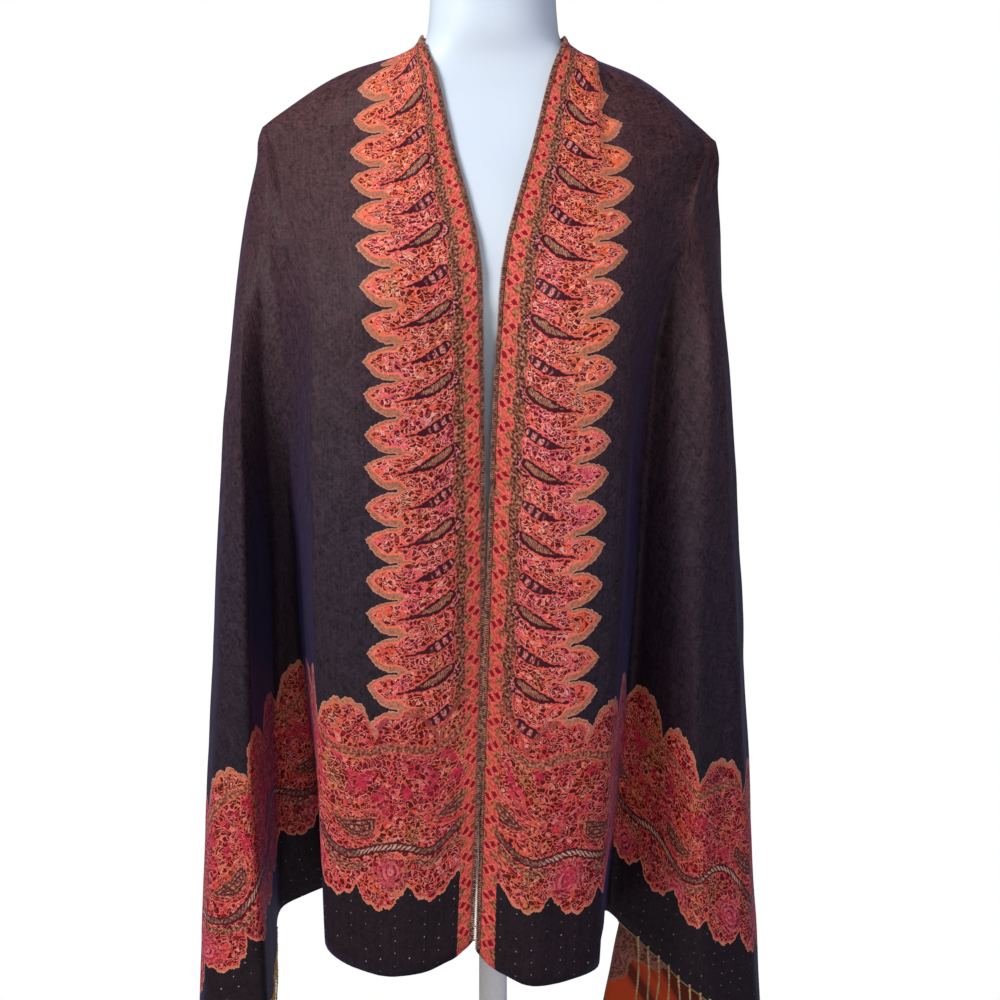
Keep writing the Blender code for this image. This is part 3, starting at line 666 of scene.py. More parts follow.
YARN_PITCH = 0.0145
YARN_LENGTH = 0.071
YARN_UNEVEN = 0.09        # share by which a yarn's length is off
YARN_POINTS = 26
FIRST_YARN = {"left": 0.004, "right": 0.032}     # from the start of the fringed stretch
LAST_YARN = 0.003         # from the corner
YARN_LEAN = (0.016, 0.006)
YARN_SWAY = (0.0030, 0.0012)
PLY_RADIUS = 0.00062
PLY_TURN = 0.0062         # length of one turn
SPREAD_START = 0.88       # the plies part over the rest of a yarn, by this many times their radius
SPREAD = 1.6
PICK_RADIUS = 0.0009

# The loose thread's middle (x, y, z), and how far it curls sideways and up
LOOSE_AT = (-0.0150, -0.1440, 0.6060)
LOOSE_CURL = (0.0065, 0.0045)
LOOSE_TURN = 1.6 * np.pi
LOOSE_RADIUS = 0.0005


def tubes(name, paths, radius, material, sides=1):
    """One mesh of round threads along the given paths."""
    curve = bpy.data.curves.new(name + "_paths", "CURVE")
    curve.dimensions = "3D"
    curve.bevel_depth = radius
    curve.bevel_resolution = sides
    curve.use_fill_caps = True
    for path in paths:
        spline = curve.splines.new("POLY")
        spline.points.add(len(path) - 1)
        spline.points.foreach_set("co", np.concatenate([path, np.ones((len(path), 1))], axis=1).ravel())
    holder = bpy.data.objects.new(name + "_paths", curve)
    bpy.context.scene.collection.objects.link(holder)
    bpy.context.view_layer.update()
    mesh = bpy.data.meshes.new_from_object(holder.evaluated_get(bpy.context.evaluated_depsgraph_get()))
    bpy.data.objects.remove(holder)
    bpy.data.curves.remove(curve)
    mesh.name = name
    mesh.materials.clear()
    return finished(mesh, name, material)


def edge_line(cloth, which):
    """Points, inward directions and normals along a long edge of the shawl, from left to right."""
    c, p, n = cloth["c"], cloth["p"], cloth["n"]
    along = END - np.abs(c)
    if which == "neck":
        neck = np.where(along > NECK_START)[0]
        line = np.concatenate([p[0, ::-1], p[neck, 0], p[-1, :]])
        inner = np.concatenate([p[1, ::-1], p[neck, 1], p[-2, :]])
        face = np.concatenate([n[0, ::-1], n[neck, 1], n[-1, :]])
    else:
        low = np.where(along > WIDTH - 1e-6)[0]
        line, inner, face = p[low, -1], p[low, -2], n[low, -1]
    return line, inner - line, face


def evenly(line, pitch, *others):
    """Places at an even pitch along a line, with what else is known along it."""
    run = np.concatenate([[0], np.cumsum(np.linalg.norm(np.diff(line, axis=0), axis=1))])
    at = np.arange(STITCH_START, run[-1] - STITCH_START, pitch)
    return [np.stack([np.interp(at, run, v[:, k]) for k in range(3)], axis=-1) for v in (line, *others)]


def overlock(cloth, which, thread, looper):
    """Overlock stitching: slanted threads wrapped round a long edge, and a looper thread on each face."""
    line, inward, face = edge_line(cloth, which)
    line, inward, face = evenly(line, STITCH_PITCH, inward, face)
    tangent = np.gradient(line, axis=0)
    tangent = tangent / np.linalg.norm(tangent, axis=1, keepdims=True)
    inward = inward - tangent * (inward * tangent).sum(1, keepdims=True)
    inward = inward / np.maximum(np.linalg.norm(inward, axis=1, keepdims=True), TINY)
    square = np.cross(tangent, inward)
    face = square * np.sign((square * face).sum(1, keepdims=True))
    over, under, bulge = LIFT, -(CLOTH_THICK + LIFT), LIFT / 3
    # a stitch's six points: how far into the cloth, how high over its face, and which way it slants
    stitch = (
        (STITCH_REACH, over, -1),
        (0.4 * STITCH_REACH, over + bulge, 0),
        (-0.0005, 0.6 * over, 1),
        (-0.0008, (over + under) / 2, 1),
        (-0.0005, 0.9 * under, 1),
        (STITCH_REACH, under, -1),
    )
    slant = tangent * STITCH_PITCH / 4
    wraps = [line + inward * deep + face * high + slant * way for deep, high, way in stitch]
    wrapped = tubes("overlock_" + which, np.stack(wraps, axis=1), STITCH_RADIUS, thread)
    sides = [line + inward * STITCH_REACH + face * high for high in (over + bulge, under - bulge)]
    lines = tubes("looper_" + which, sides, LOOPER_RADIUS, looper)
    return [wrapped, lines]


def fringe_yarns(cloth, material):
    """Twisted two-ply yarns under the outer stretch of each end, each a little different in its hang."""
    c, p = cloth["c"], cloth["p"]
    along = END - np.abs(c)
    strands = []
    number = 0
    for side, mine in (("left", c < 0), ("right", c > 0)):
        order = np.argsort(along[mine])
        known, hem, above = along[mine][order], p[mine, -1][order], p[mine, -3][order]
        for place in np.arange(FRINGE_START[side] + FIRST_YARN[side], WIDTH - LAST_YARN, YARN_PITCH):
            number += 1
            root, higher = [np.array([np.interp(place, known, line[:, k]) for k in range(3)])
                            for line in (hem, above)]
            up = higher - root
            strands += twisted_yarn(root, up / np.linalg.norm(up), number)
    return tubes("fringe_yarns", strands, PLY_RADIUS, material)


def twisted_yarn(root, up, number):
    """The two plies of one yarn, which leaves the hem along the cloth and falls with a slight wave."""
    wild = [noise.noise(Vector((number * 1.37, k * 7.1, 0.5))) for k in range(5)]
    length = YARN_LENGTH * (1 + YARN_UNEVEN * wild[0])
    s = np.linspace(0, 1, YARN_POINTS)
    path = root + np.outer(s * length, (0.0, 0.0, -1.0))
    path = path + np.outer(s * s, (wild[1] * YARN_LEAN[0], wild[2] * YARN_LEAN[1], 0.0))
    path[:, 0] += YARN_SWAY[0] * (0.8 + wild[4]) * np.sin(s * np.pi * (2.2 + wild[3])) * s * (1 - 0.3 * s)
    path[:, 1] += YARN_SWAY[1] * np.cos(s * 7 + number) * s
    path[0] += up * STITCH_REACH
    spread = PLY_RADIUS * (0.95 + SPREAD * np.clip((s - SPREAD_START) / (1 - SPREAD_START), 0, 1))
    plies = []
    for start in (0.0, np.pi):
        turn = s * length / PLY_TURN * 2 * np.pi + start
        round_path = np.stack([np.cos(turn) * spread, np.sin(turn) * spread, np.zeros_like(s)], axis=-1)
        plies.append(path + round_path)
    return plies


def hem_cords(cloth, material):
    """The last weft yarns, a firmer line along the fringed stretch of each end."""
    c, p, n = cloth["c"], cloth["p"], cloth["n"]
    along = END - np.abs(c)
    lines = []
    for side, mine in (("left", c < 0), ("right", c > 0)):
        keep = mine & (along >= FRINGE_START[side]) & (along <= WIDTH)
        lines.append(p[keep, -1] - n[keep, -1] * CLOTH_THICK / 2)
    return tubes("end_picks", lines, PICK_RADIUS, material, sides=2)


def loose_thread(material):
    """A short thread end that curls at the front corner of the neck edge."""
    s = np.linspace(0, 1, 24)
    turn = LOOSE_TURN * s
    x = LOOSE_AT[0] + LOOSE_CURL[0] * np.sin(turn) * (0.4 + 0.6 * s)
    y = LOOSE_AT[1] - 0.0020 * s
    z = LOOSE_AT[2] + LOOSE_CURL[1] * np.cos(turn) - 0.0040 * s
    return tubes("loose_thread", [np.stack([x, y, z], axis=-1)], LOOSE_RADIUS, material)


# ---------------------------------------------------------------- dress form and stand

FORM_RINGS = 150
FORM_SIDES = 144
FORM_TAPS = (-0.008, -0.004, 0.0, 0.004, 0.008)   # where a section's size is read to round the steps
FORM_ENDS = (0.004, 0.010)                        # and it stays crisp this close to its bottom and its top
STAND_ROUND = 0.0012      # radius of the stand's edges


def dress_form(material):
    """Torso and neck in one moulding: a grid wrapped round level sections, closed top and bottom."""
    low, high = FORM[0][0], FORM[-1][0]
    bm = bmesh.new()
    bmesh.ops.create_cone(bm, cap_ends=True, segments=FORM_SIDES, radius1=1, radius2=1, depth=1)
    walls = [e for e in bm.edges if abs(e.verts[0].co.z - e.verts[1].co.z) > 0.5]
    bmesh.ops.subdivide_edges(bm, edges=walls, cuts=FORM_RINGS, use_grid_fill=True)
    for v in bm.verts:
        share = v.co.z + 0.5
        z = low + (high - low) * share
        turn = math.atan2(v.co.y, v.co.x)
        cos, sin = math.cos(turn), math.sin(turn)
        x = smooth_section("half_width", z) * math.copysign(abs(cos) ** (2 / FORM_POWER), cos)
        depth = smooth_section("front" if sin < 0 else "back", z)
        if sin < 0:
            depth += float(bust(x, z))
        v.co = (x, depth * math.copysign(abs(sin) ** (2 / FORM_POWER), sin), z)
    bmesh.ops.recalc_face_normals(bm, faces=bm.faces)
    return object_from(bm, "dress_form", material)


def smooth_section(name, z):
    """A form section's size at z, rounded off between the levels of the table except at its ends."""
    low, high = FORM[0][0], FORM[-1][0]
    if z < low + FORM_ENDS[0] or z > high - FORM_ENDS[1]:
        return float(form_section(name, z))
    return float(np.mean([form_section(name, min(max(z + tap, low), high)) for tap in FORM_TAPS]))


def turned(name, outline, segments, material):
    """A round piece spun from its outline about the Z axis."""
    bm = bmesh.new()
    closed = [(0.0, outline[0][1]), *outline, (0.0, outline[-1][1])]
    verts = [bm.verts.new((r, 0, z)) for r, z in closed]
    edges = [bm.edges.new(pair) for pair in zip(verts, verts[1:])]
    bmesh.ops.spin(bm, geom=verts + edges, cent=(0, 0, 0), axis=(0, 0, 1), angle=2 * math.pi,
                   steps=segments, use_merge=True, use_duplicate=False)
    bmesh.ops.remove_doubles(bm, verts=bm.verts, dist=MERGED / 2)
    bmesh.ops.recalc_face_normals(bm, faces=bm.faces)
    obj = object_from(bm, name, material)
    bevel = obj.modifiers.new("rounded", "BEVEL")
    bevel.width = STAND_ROUND
    bevel.segments = 3
    bevel.limit_method = "ANGLE"
    return obj


# ---------------------------------------------------------------- weave pattern

# Colours of the yarns as they show in the cloth, with painted light and shade in some of them
YARN_HEX = {
    # ground, from the neck to the ends, partly painted light and shade: lighter where the light falls at the
    # neck; and its pin dots
    "ground_high_dye_and_light": "#503234",
    "ground_middle": "#2f232e",
    "ground_low_dye_and_shade": "#1e1219",
    "pin": "#d8cccb",
    # bright warps of the border
    "apricot": "#d8865c",
    "flame": "#ff5e46",
    "coral": "#ff6c5c",
    "pink": "#ff6078",
    "rose": "#e03c62",
    "orange": "#ff742e",
    # bright warps of the end bands
    "amber": "#cc8850",
    "tangerine": "#fa7c50",
    "poppy": "#ff5e4c",
    "cerise": "#f0465a",
    "vermilion": "#fc6450",
    "crimson": "#cc284c",
    "wine": "#b01422",
    # net, beads and curls
    "peach": "#ffc2b0",
    "pale_orange": "#ffb070",
    "scarlet": "#d42a3c",
    "ink": "#5c0a0e",
    "garnet": "#84142a",
    # mottled meanders
    "bark": "#46120f",
    "chestnut": "#6c3628",
    "clay": "#90543e",
    "tan": "#ac7058",
    "oat": "#c88c74",
    # teardrops
    "aubergine": "#470f20",
    "scroll": "#e08c82",
    "hatch_dark": "#6e3628",
    "hatch_light": "#d89a7c",
    "bead_dark": "#8c3c42",
    "bead_light": "#ec948a",
    # strip along the long edge
    "strip_dark": "#cf4c40",
    "strip_light": "#f47464",
    "gold_dark": "#6e3c28",
    "gold_light": "#c08258",
    "lozenge_line": "#ff8070",
    "lozenge_heart": "#7e162a",
    # painted shade: dark brown under the overlock, for the shaded gaps between its stitches and the edge's
    # turn
    "edge_shade_brown": "#341518",
    # figures of the end bands
    "magenta": "#c22344",
    "dash": "#d8a490",
    "rosette_dark": "#c62e4c",
    "rosette_light": "#f4687a",
    "rosette_line": "#4a1428",
    # outline of every figured edge
    "umber": "#84412f",
    "taupe": "#c87f66",
    "rim_line": "#de947a",
    "rim_orange": "#d88454",
    "inner_line": "#ff7c5c",
    # how much darker the figured yarns are made low down, and in the bands: partly dye, partly painted shade
    # of the dimmer light there
    "lower_dye_and_shade": "#ecdcde",
    "band_dye_and_shade": "#e0c4c6",
}

# Long border, as distances from the nearer long edge
# painted shade: the dark brown next to the overlock stands for the shaded gaps between stitches and the
# edge's turn
EDGE_SHADE = 0.0034       # dark brown next to the overlock
STRIP_EDGE = 0.0164       # the coral strip ends here
MEANDER_AT = 0.0214       # middle of the mottled meander, its half-width and how far it sways
MEANDER_HALF = 0.0055
MEANDER_SWAY = 0.0015
SLIT_END = 0.0770         # the slit between two scallops ends here
SLIT_HALF = 0.0007
SCALLOP_TIP = 0.1030      # the scallops' points
SCALLOP = 0.0300          # one scallop along the edge
PAIR = 2 * SCALLOP
SCALLOP_SLOPE = 0.0112    # a scallop is this deep by its straight sides, and that much more by their curve
SCALLOP_BULGE = 0.0108
BORDER_START = 0.0075     # where the first scallop starts
STRETCH_END = 0.370       # nearer the centre back than this the border's figures lie further apart
STRETCH = 0.15            # and each metre there holds this much less of them

# End band, as distances from the nearer end
BAND_TOP = 0.2160         # crests of the rounded lobes, their pitch and how deep they are cut
LOBE_PITCH = 0.0560
LOBE_CUT = 0.0260
BAND_FOOT = 0.0560        # lowest places of the outer side, the pitch of its lobes and how far it rises
FOOT_PITCH = 0.0480
FOOT_RISE = 0.0170
UNEVEN = 0.0150           # how far a lobe may lie off its place
RIPPLE_PITCH = 0.0125
RIPPLE = 0.0030
UPPER_AT = 0.1850         # the upper wave's middle and half-width
UPPER_HALF = 0.0038
MAGENTA_AT = 0.1560       # middle of the magenta patches
DROP_AT = 0.1215          # the large teardrops' middle, length and half-width, and the pitch of their rings
DROP_LENGTH = 0.070
DROP_HALF = 0.0155
DROP_RING = 0.0016
RIBBON_AT = 0.1050        # the ribbon's middle, half-width, the half-width inside its dark lines, its waves
RIBBON_HALF = 0.0036
RIBBON_CORE = 0.0021
RIBBON_PITCH = 0.0940
DASH_PITCH = 0.0043
UNDER_AT = 0.0095         # how far under the ribbon the mottled wave lies, and its half-width
UNDER_HALF = 0.0030
ROSETTE_AT = 0.0790       # the rosettes' middles, pitch and radius, and the pitch of their rings
ROSETTE_PITCH = 0.0760
ROSETTE_RADIUS = 0.0190
ROSETTE_RING = 0.0023

# Pin dots of the ground: they lie this near to the end, this far apart, and have this radius
PINNED = 0.105
PIN_ACROSS = 0.0140
PIN_ALONG = 0.0103
PIN_RADIUS = 0.0005

# Diamonds of the strip along the edge: distance from the edge, and place in the pitch
LOZENGE_PITCH = 0.0202
LOZENGES = ((0.0122, 0.0078), (0.0070, 0.0133))

# How fine the weave is. Yarns are drawn coarser than in life, so that they show
PICK_PITCH = 0.0016       # filling yarns, 0.4 mm apart in life
TWILL_PITCH = 0.004343    # twill lines, 0.5 mm apart in life
FLOAT_HEIGHT = 0.0006     # how far the floats stand over the ground
HATCH_PITCH = 0.0021      # hatching in a teardrop, and in the outlines
RIM_PITCH = 0.0022
BEAD_PITCH = 0.0068       # beads in the other teardrop
SCROLL_PITCH = 0.0038     # lines of the dark scroll

# The same for patterns that come from noise, as features in a metre, with their size in millimetres
CELLS = 235.0             # 4.3 of the net and its beads, which are squeezed to 3.2 along the cloth
CELL_SQUEEZE = 1.35
SHAKE_GRAIN = 260.0       # 3.8 shake of every drawn edge
RAGGED_GRAIN = 480.0      # 2.1 shake of the outlines, and 3.0 of the teardrops'
TAIL_GRAIN = 330.0
CRIMP_GRAIN = 270.0       # 3.7 shake of the net
SPECK_GRAIN = 430.0       # 2.3 specks of another yarn
CURL_GRAIN = 120.0        # 8.3 dark curls
DRIFT_GRAIN = 38.0        # 26 drift of the figures from their places
LOBE_GRAIN = 14.0         # 71 unevenness of the end band's lobes
HEAT_GRAIN = 5.5          # 180 stretches of orange
DAMASK_GRAIN = 150.0      # 6.7 tone-on-tone figure of the ground
FLECK_GRAIN = 640.0       # 1.6 flecks of the ground; 0.8 in life
WARP_GRAIN = (560.0, 30.0, 0.0)       # 1.8 across and 33 along; warps lie 0.3 apart in life
STRIPE_GRAIN = (34.0, 9.0, 0.0)       # 29 across and 110 along, of the bright warps' colour
PATCH_GRAIN = (62.0, 44.0, 1.0)       # 16 across and 23 along, of the same
STREAK_GRAIN = (70.0, 5.0, 0.0)       # 14 across and 200 along, of the reverse

# How far that noise moves a place, from one extreme to the other
SHAKE = 0.0028
RAGGED = 0.0026
TAIL_RAGGED = 0.0040
CRIMP = 0.0040
DRIFT = 0.014

# Teardrops of the long border: tail and head, each as its distance from the long edge and its place along
# the pair of scallops, half-width, how thick the dark outline is, how far the fill sits off the middle,
# and what fills them
PAISLEYS = (
    (0.0740, 0.0545, 0.0262, 0.0335, 0.0058, 0.0025, 0.0007, "hatched"),
    (0.0670, 0.0235, 0.0275, 0.0070, 0.0052, 0.0015, -0.0003, "beaded"),
)
TAIL_BEND = 0.0080        # how far the tail's end curls to the side
CROWN_AT = (0.0285, 0.0385)   # dark scroll round the hatched one's head
CROWN_RADIUS = 0.0078

# Settings of a Mix node that lays one colour over another, and of one that multiplies them
COLOURS = {"out": 2, "data_type": "RGBA"}
MULTIPLIED = {**COLOURS, "blend_type": "MULTIPLY"}


def linear(hex_code, alpha=1.0):
    """An sRGB hex colour as Blender's linear values."""
    parts = [int(hex_code[k:k + 2], 16) / 255 for k in (1, 3, 5)]
    return (*[p / 12.92 if p <= 0.04045 else ((p + 0.055) / 1.055) ** 2.4 for p in parts], alpha)


YARN = {name: linear(code) for name, code in YARN_HEX.items()}


def add(tree, kind, inputs=(), out=0, points=None, stops=None, **settings):
    """Adds a node, and gives its output number out.

    kind may end in :OPERATION. inputs are values or sockets, in order or by position or name in a dict.
    points are those of a curve, and stops the (position, yarn) pairs of a colour ramp.
    """
    kind, _, operation = kind.partition(":")
    node = tree.nodes.new("ShaderNode" + kind)
    if operation:
        node.operation = operation
    for name, value in settings.items():
        setattr(node, name, value)
    if points:
        curve = node.mapping.curves[0]
        curve.points[0].location, curve.points[1].location = points[0], points[-1]
        for x, y in points[1:-1]:
            curve.points.new(x, y)
        node.mapping.update()
    if stops:
        ramp = node.color_ramp
        while len(ramp.elements) < len(stops):
            ramp.elements.new(0.5)
        for element, (position, yarn) in zip(ramp.elements, stops):
            element.position = position
            element.color = YARN[yarn]
    pairs = inputs.items() if isinstance(inputs, dict) else enumerate(inputs)
    for index, value in pairs:
        if isinstance(value, bpy.types.NodeSocket):
            tree.links.new(value, node.inputs[index])
        elif value is not None:
            node.inputs[index].default_value = value
    return node.outputs[out]


def laid(new, under, layers):
    """Lays a stack of colours over the one under it: layers are (how much, colour), the lowest first."""
    for amount, colour in layers:
        under = new("Mix", {0: amount, 6: under, 7: colour}, **COLOURS)
    return under


def woven_pattern():
    """The jacquard design as a node group on the cloth's own coordinates.

    It gives the colour, whether the place is figured (1) or plain (0), and the relief of the floats.
    """
    tree = bpy.data.node_groups.new("jacquard_design", "ShaderNodeTree")
    outputs = (("Colour", "NodeSocketColor"), ("Figured", "NodeSocketFloat"), ("Relief", "NodeSocketFloat"))
    for name, kind in outputs:
        tree.interface.new_socket(name, in_out="OUTPUT", socket_type=kind)
    new = functools.partial(add, tree)
    at = cloth_places(new)
    long_border(new, at)
    end_band(new, at)
    inside = new("Math:MAXIMUM", (new("Math:MINIMUM", (at.border, at.over)), at.band))
    at.inside = new("Math:MAXIMUM", (inside, at.strip))

    figure = bright_warps(new, at)
    figure = vermicelli(new, at, figure)
    figure = laid(new, figure, meander(new, at) + border_paisleys(new, at))
    figure = laid(new, figure, selvedge_strip(new, at))
    # the figured yarns are darker towards the ends, and most in the bands: partly dye, partly painted shade
    # of the dimmer light lower down
    lower = new("Mix", {0: new("MapRange", (at.w, 0.36, 0.66, 0.0, 1.0)), 6: (1.0, 1.0, 1.0, 1.0),
                        7: YARN["lower_dye_and_shade"]}, **COLOURS)
    lower = new("Mix", {0: at.in_band, 6: lower, 7: YARN["band_dye_and_shade"]}, **COLOURS)
    figure = new("Mix", {0: 1.0, 6: figure, 7: lower}, **MULTIPLIED)
    figure = laid(new, figure, band_figures(new, at) + outline(new, at))

    figured = new("MapRange", (at.inside, 0.0, 0.0004, 0.0, 1.0))
    colour = new("Mix", {0: figured, 6: plain_ground(new, at), 7: figure}, **COLOURS)
    picks = new("Math:SINE", (new("Math:MULTIPLY", (at.v, 2 * math.pi / PICK_PITCH)),))
    shade = new("Math:MULTIPLY_ADD", (picks, 0.05, 0.97))
    colour = new("Mix", {0: 1.0, 6: colour, 7: new("CombineXYZ", (shade, shade, shade))}, **MULTIPLIED)
    relief = new("Math:MULTIPLY", (figured, new("Math:MULTIPLY_ADD", (at.dark, -0.5, 1.0))))
    relief = new("Math:ADD", (relief, new("Math:MULTIPLY", (picks, 0.10))))
    end = tree.nodes.new("NodeGroupOutput")
    for socket, value in zip(end.inputs, (colour, figured, relief)):
        tree.links.new(value, socket)
    return tree


def cloth_places(new):
    """Where a point of the cloth lies, in metres, and the noises that several figures share.

    u runs across and v along. d is from the nearer long edge, w from the centre back and e from the
    nearer end. A little noise in them makes every drawn edge as ragged as floats are.
    """
    at = types.SimpleNamespace()
    at.uv = new("UVMap", uv_map="cloth")
    shake = new("TexNoise", {0: at.uv, 2: SHAKE_GRAIN, 3: 1.5}, out=1)
    shake = new("VectorMath:MULTIPLY_ADD", (shake, (SHAKE, SHAKE, 0.0), (-SHAKE / 2, -SHAKE / 2, 0.0)))
    at.place = new("VectorMath:ADD", (at.uv, shake))
    at.u = new("SeparateXYZ", (at.place,))
    at.v = at.u.node.outputs[1]
    at.w = new("Math:ABSOLUTE", (at.v,))
    off_middle = new("Math:ABSOLUTE", (new("Math:SUBTRACT", (at.u, WIDTH / 2)),))
    at.d = new("Math:SUBTRACT", (WIDTH / 2, off_middle))
    at.e = new("Math:SUBTRACT", (HALF, at.w))
    at.strip = new("Math:SUBTRACT", (STRIP_EDGE, at.d))
    at.ragged = new("TexNoise", {0: at.place, 2: RAGGED_GRAIN, 3: 0.0})
    at.ragged = new("Math:MULTIPLY_ADD", (at.ragged, RAGGED, -RAGGED / 2))
    at.speck = new("TexNoise", {0: at.place, 2: SPECK_GRAIN, 3: 1.0})
    at.drift = new("TexNoise", {0: at.place, 2: DRIFT_GRAIN, 3: 1.0}, out=1)
    at.drift = new("VectorMath:MULTIPLY_ADD", (at.drift, (DRIFT, DRIFT, 0.0), (-DRIFT / 2, -DRIFT / 2, 0.0)))
    at.wander = new("SeparateXYZ", (at.drift,), out=1)
    at.earth = new("ValToRGB", (at.speck,), stops=(
        (0.38, "bark"), (0.45, "chestnut"), (0.53, "clay"), (0.60, "tan"), (0.67, "oat")))
    return at


def long_border(new, at):
    """Flame scallops on the inner side of the long borders: a blunt point, full sides, a slit between two.

    along runs with the figures of the border, and border is how far inside its outline a place lies.
    """
    nearer = new("Math:MAXIMUM", (new("Math:SUBTRACT", (STRETCH_END, at.w)), 0.0))
    at.along = new("Math:SUBTRACT", (new("Math:MULTIPLY_ADD", (nearer, STRETCH, at.w)), BORDER_START))
    cell = new("Math:DIVIDE", (at.along, SCALLOP))
    odd = new("Math:FLOORED_MODULO", (new("Math:FLOOR", (cell,)), 2.0))
    part = new("Math:FRACT", (cell,))
    tip = new("Math:MULTIPLY_ADD", (odd, 0.11, 0.41))
    ahead = new("Math:DIVIDE", (new("Math:SUBTRACT", (tip, part)), tip))
    behind = new("Math:DIVIDE", (new("Math:SUBTRACT", (part, tip)), new("Math:SUBTRACT", (1.0, tip))))
    off_tip = new("Math:MAXIMUM", (ahead, behind))
    cubed = new("Math:POWER", (off_tip, 3.0))
    reach = new("Math:MULTIPLY", (off_tip, new("Math:MULTIPLY_ADD", (cubed, SCALLOP_BULGE, SCALLOP_SLOPE))))
    steep = new("Math:MULTIPLY_ADD", (cubed, 8 * SCALLOP_BULGE / SCALLOP, 2 * SCALLOP_SLOPE / SCALLOP))
    steep = new("Math:SQRT", (new("Math:MULTIPLY_ADD", (steep, steep, 1.0)),))
    point = new("Math:SUBTRACT", (new("Math:ADD", (at.ragged, SCALLOP_TIP)), reach))
    flame = new("Math:DIVIDE", (new("Math:SUBTRACT", (point, at.d)), steep))
    gap = new("Math:MULTIPLY", (new("Math:SUBTRACT", (1.0, off_tip)), SCALLOP / 2))
    past = new("Math:MAXIMUM", (new("Math:SUBTRACT", (SLIT_END, at.d)), 0.0))
    slit = new("VectorMath:LENGTH", (new("CombineXYZ", (gap, past, 0.0)),), out=1)
    slit = new("Math:SUBTRACT", (slit, SLIT_HALF))
    at.border = new("Math:MINIMUM", (flame, slit))
    # its outline is thin on a scallop's upper flank and wide on its lower one
    at.flank = new("MapRange", (new("Math:SUBTRACT", (part, tip)), -0.06, 0.16, 0.0030, 0.0056))


def end_band(new, at):
    """End bands: rounded lobes along the inner side and lower, rippled ones along the outer side.

    band is how far inside its outline a place lies, over how far it is above the outer side, and in_band
    is 1 in it.
    """
    uneven = new("TexNoise", {0: new("CombineXYZ", (at.u, 0.0, 0.0)), 2: LOBE_GRAIN, 3: 0.0})
    uneven = new("Math:MULTIPLY_ADD", (uneven, 2 * UNEVEN, -UNEVEN))
    ripple = new("Math:SINE", (new("Math:MULTIPLY", (at.u, math.pi / RIPPLE_PITCH)),))
    ripple = new("Math:ABSOLUTE", (ripple,))
    ripple = new("Math:MULTIPLY_ADD", (ripple, RIPPLE, -0.6 * RIPPLE))
    lobes = []
    for pitch, shift, power in ((LOBE_PITCH, 0.30, 2.8), (FOOT_PITCH, 0.62, 2.3)):
        lobe = new("Math:FRACT", (new("Math:MULTIPLY_ADD", (at.u, 1 / pitch, shift)),))
        lobe = new("Math:ABSOLUTE", (new("Math:MULTIPLY_ADD", (lobe, 2.0, -1.0)),))
        lobes.append(new("Math:POWER", (lobe, power)))
    top = new("Math:ADD", (new("Math:MULTIPLY_ADD", (lobes[0], -LOBE_CUT, BAND_TOP)), uneven))
    top = new("Math:ADD", (top, new("Math:ADD", (ripple, at.ragged))))
    bottom = new("Math:MULTIPLY_ADD", (lobes[1], FOOT_RISE, BAND_FOOT))
    bottom = new("Math:SUBTRACT", (new("Math:MULTIPLY_ADD", (uneven, -0.55, bottom)), ripple))
    at.over = new("Math:SUBTRACT", (at.e, new("Math:SUBTRACT", (bottom, at.ragged))))
    under_top = new("Math:SUBTRACT", (top, at.e))
    at.band = new("Math:MINIMUM", (under_top, at.over))
    at.in_band = new("Math:MULTIPLY", (
        new("MapRange", (under_top, -0.004, 0.004, 0.0, 1.0)), new("Math:GREATER_THAN", (at.d, STRIP_EDGE))))


def plain_ground(new, at):
    """Warm wine charcoal at the neck and blue-black at the ends, partly painted light and shade; a faint
    tone-on-tone figure and dots.
    """
    # painted light and shade in part: lighter at the neck, where more light falls, darker towards the ends
    ground = new("ValToRGB", (new("MapRange", (at.w, 0.08, 0.86, 0.0, 1.0)),), stops=(
        (0.0, "ground_high_dye_and_light"), (0.62, "ground_middle"), (1.0, "ground_low_dye_and_shade")))
    damask = new("TexNoise", {0: at.place, 2: DAMASK_GRAIN, 3: 3.0, 8: 1.8})
    warps = new("TexNoise", {0: new("VectorMath:MULTIPLY", (at.place, WARP_GRAIN)), 2: 1.0, 3: 1.0})
    fleck = new("TexNoise", {0: at.place, 2: FLECK_GRAIN, 3: 0.0})
    tone = new("Math:MULTIPLY_ADD", (damask, 2.5, -1.22))
    tone = new("Math:ADD", (tone, new("Math:MULTIPLY", (warps, 1.20))))
    tone = new("Math:MULTIPLY_ADD", (fleck, 0.74, tone))
    ground = new("Mix", {0: 1.0, 6: ground, 7: new("CombineXYZ", (tone, tone, tone))}, **MULTIPLIED)

    # dots in staggered columns; some are missing, and they aren't equally bright
    column = new("Math:DIVIDE", (at.u, PIN_ACROSS))
    step = new("Math:MULTIPLY", (new("Math:FLOORED_MODULO", (new("Math:FLOOR", (column,)), 2.0)), 0.5))
    row = new("Math:ADD", (new("Math:DIVIDE", (at.w, PIN_ALONG)), step))
    off = [new("Math:MULTIPLY", (new("Math:SUBTRACT", (new("Math:FRACT", (place,)), 0.5)), pitch))
           for place, pitch in ((column, PIN_ACROSS), (row, PIN_ALONG))]
    dot = new("VectorMath:LENGTH", (new("CombineXYZ", (*off, 0.0)),), out=1)
    pin = new("Math:MULTIPLY", (
        new("Math:LESS_THAN", (dot, PIN_RADIUS)), new("Math:LESS_THAN", (at.e, PINNED))))
    luck = new("CombineXYZ", (new("Math:FLOOR", (column,)), new("Math:FLOOR", (row,)), 0.0))
    luck = new("MapRange", (new("TexWhiteNoise", (luck,)), 0.22, 0.80, 0.0, 0.55))
    pin = new("Math:MULTIPLY", (pin, luck))
    return new("Mix", {0: pin, 6: ground, 7: YARN["pin"]}, **COLOURS)


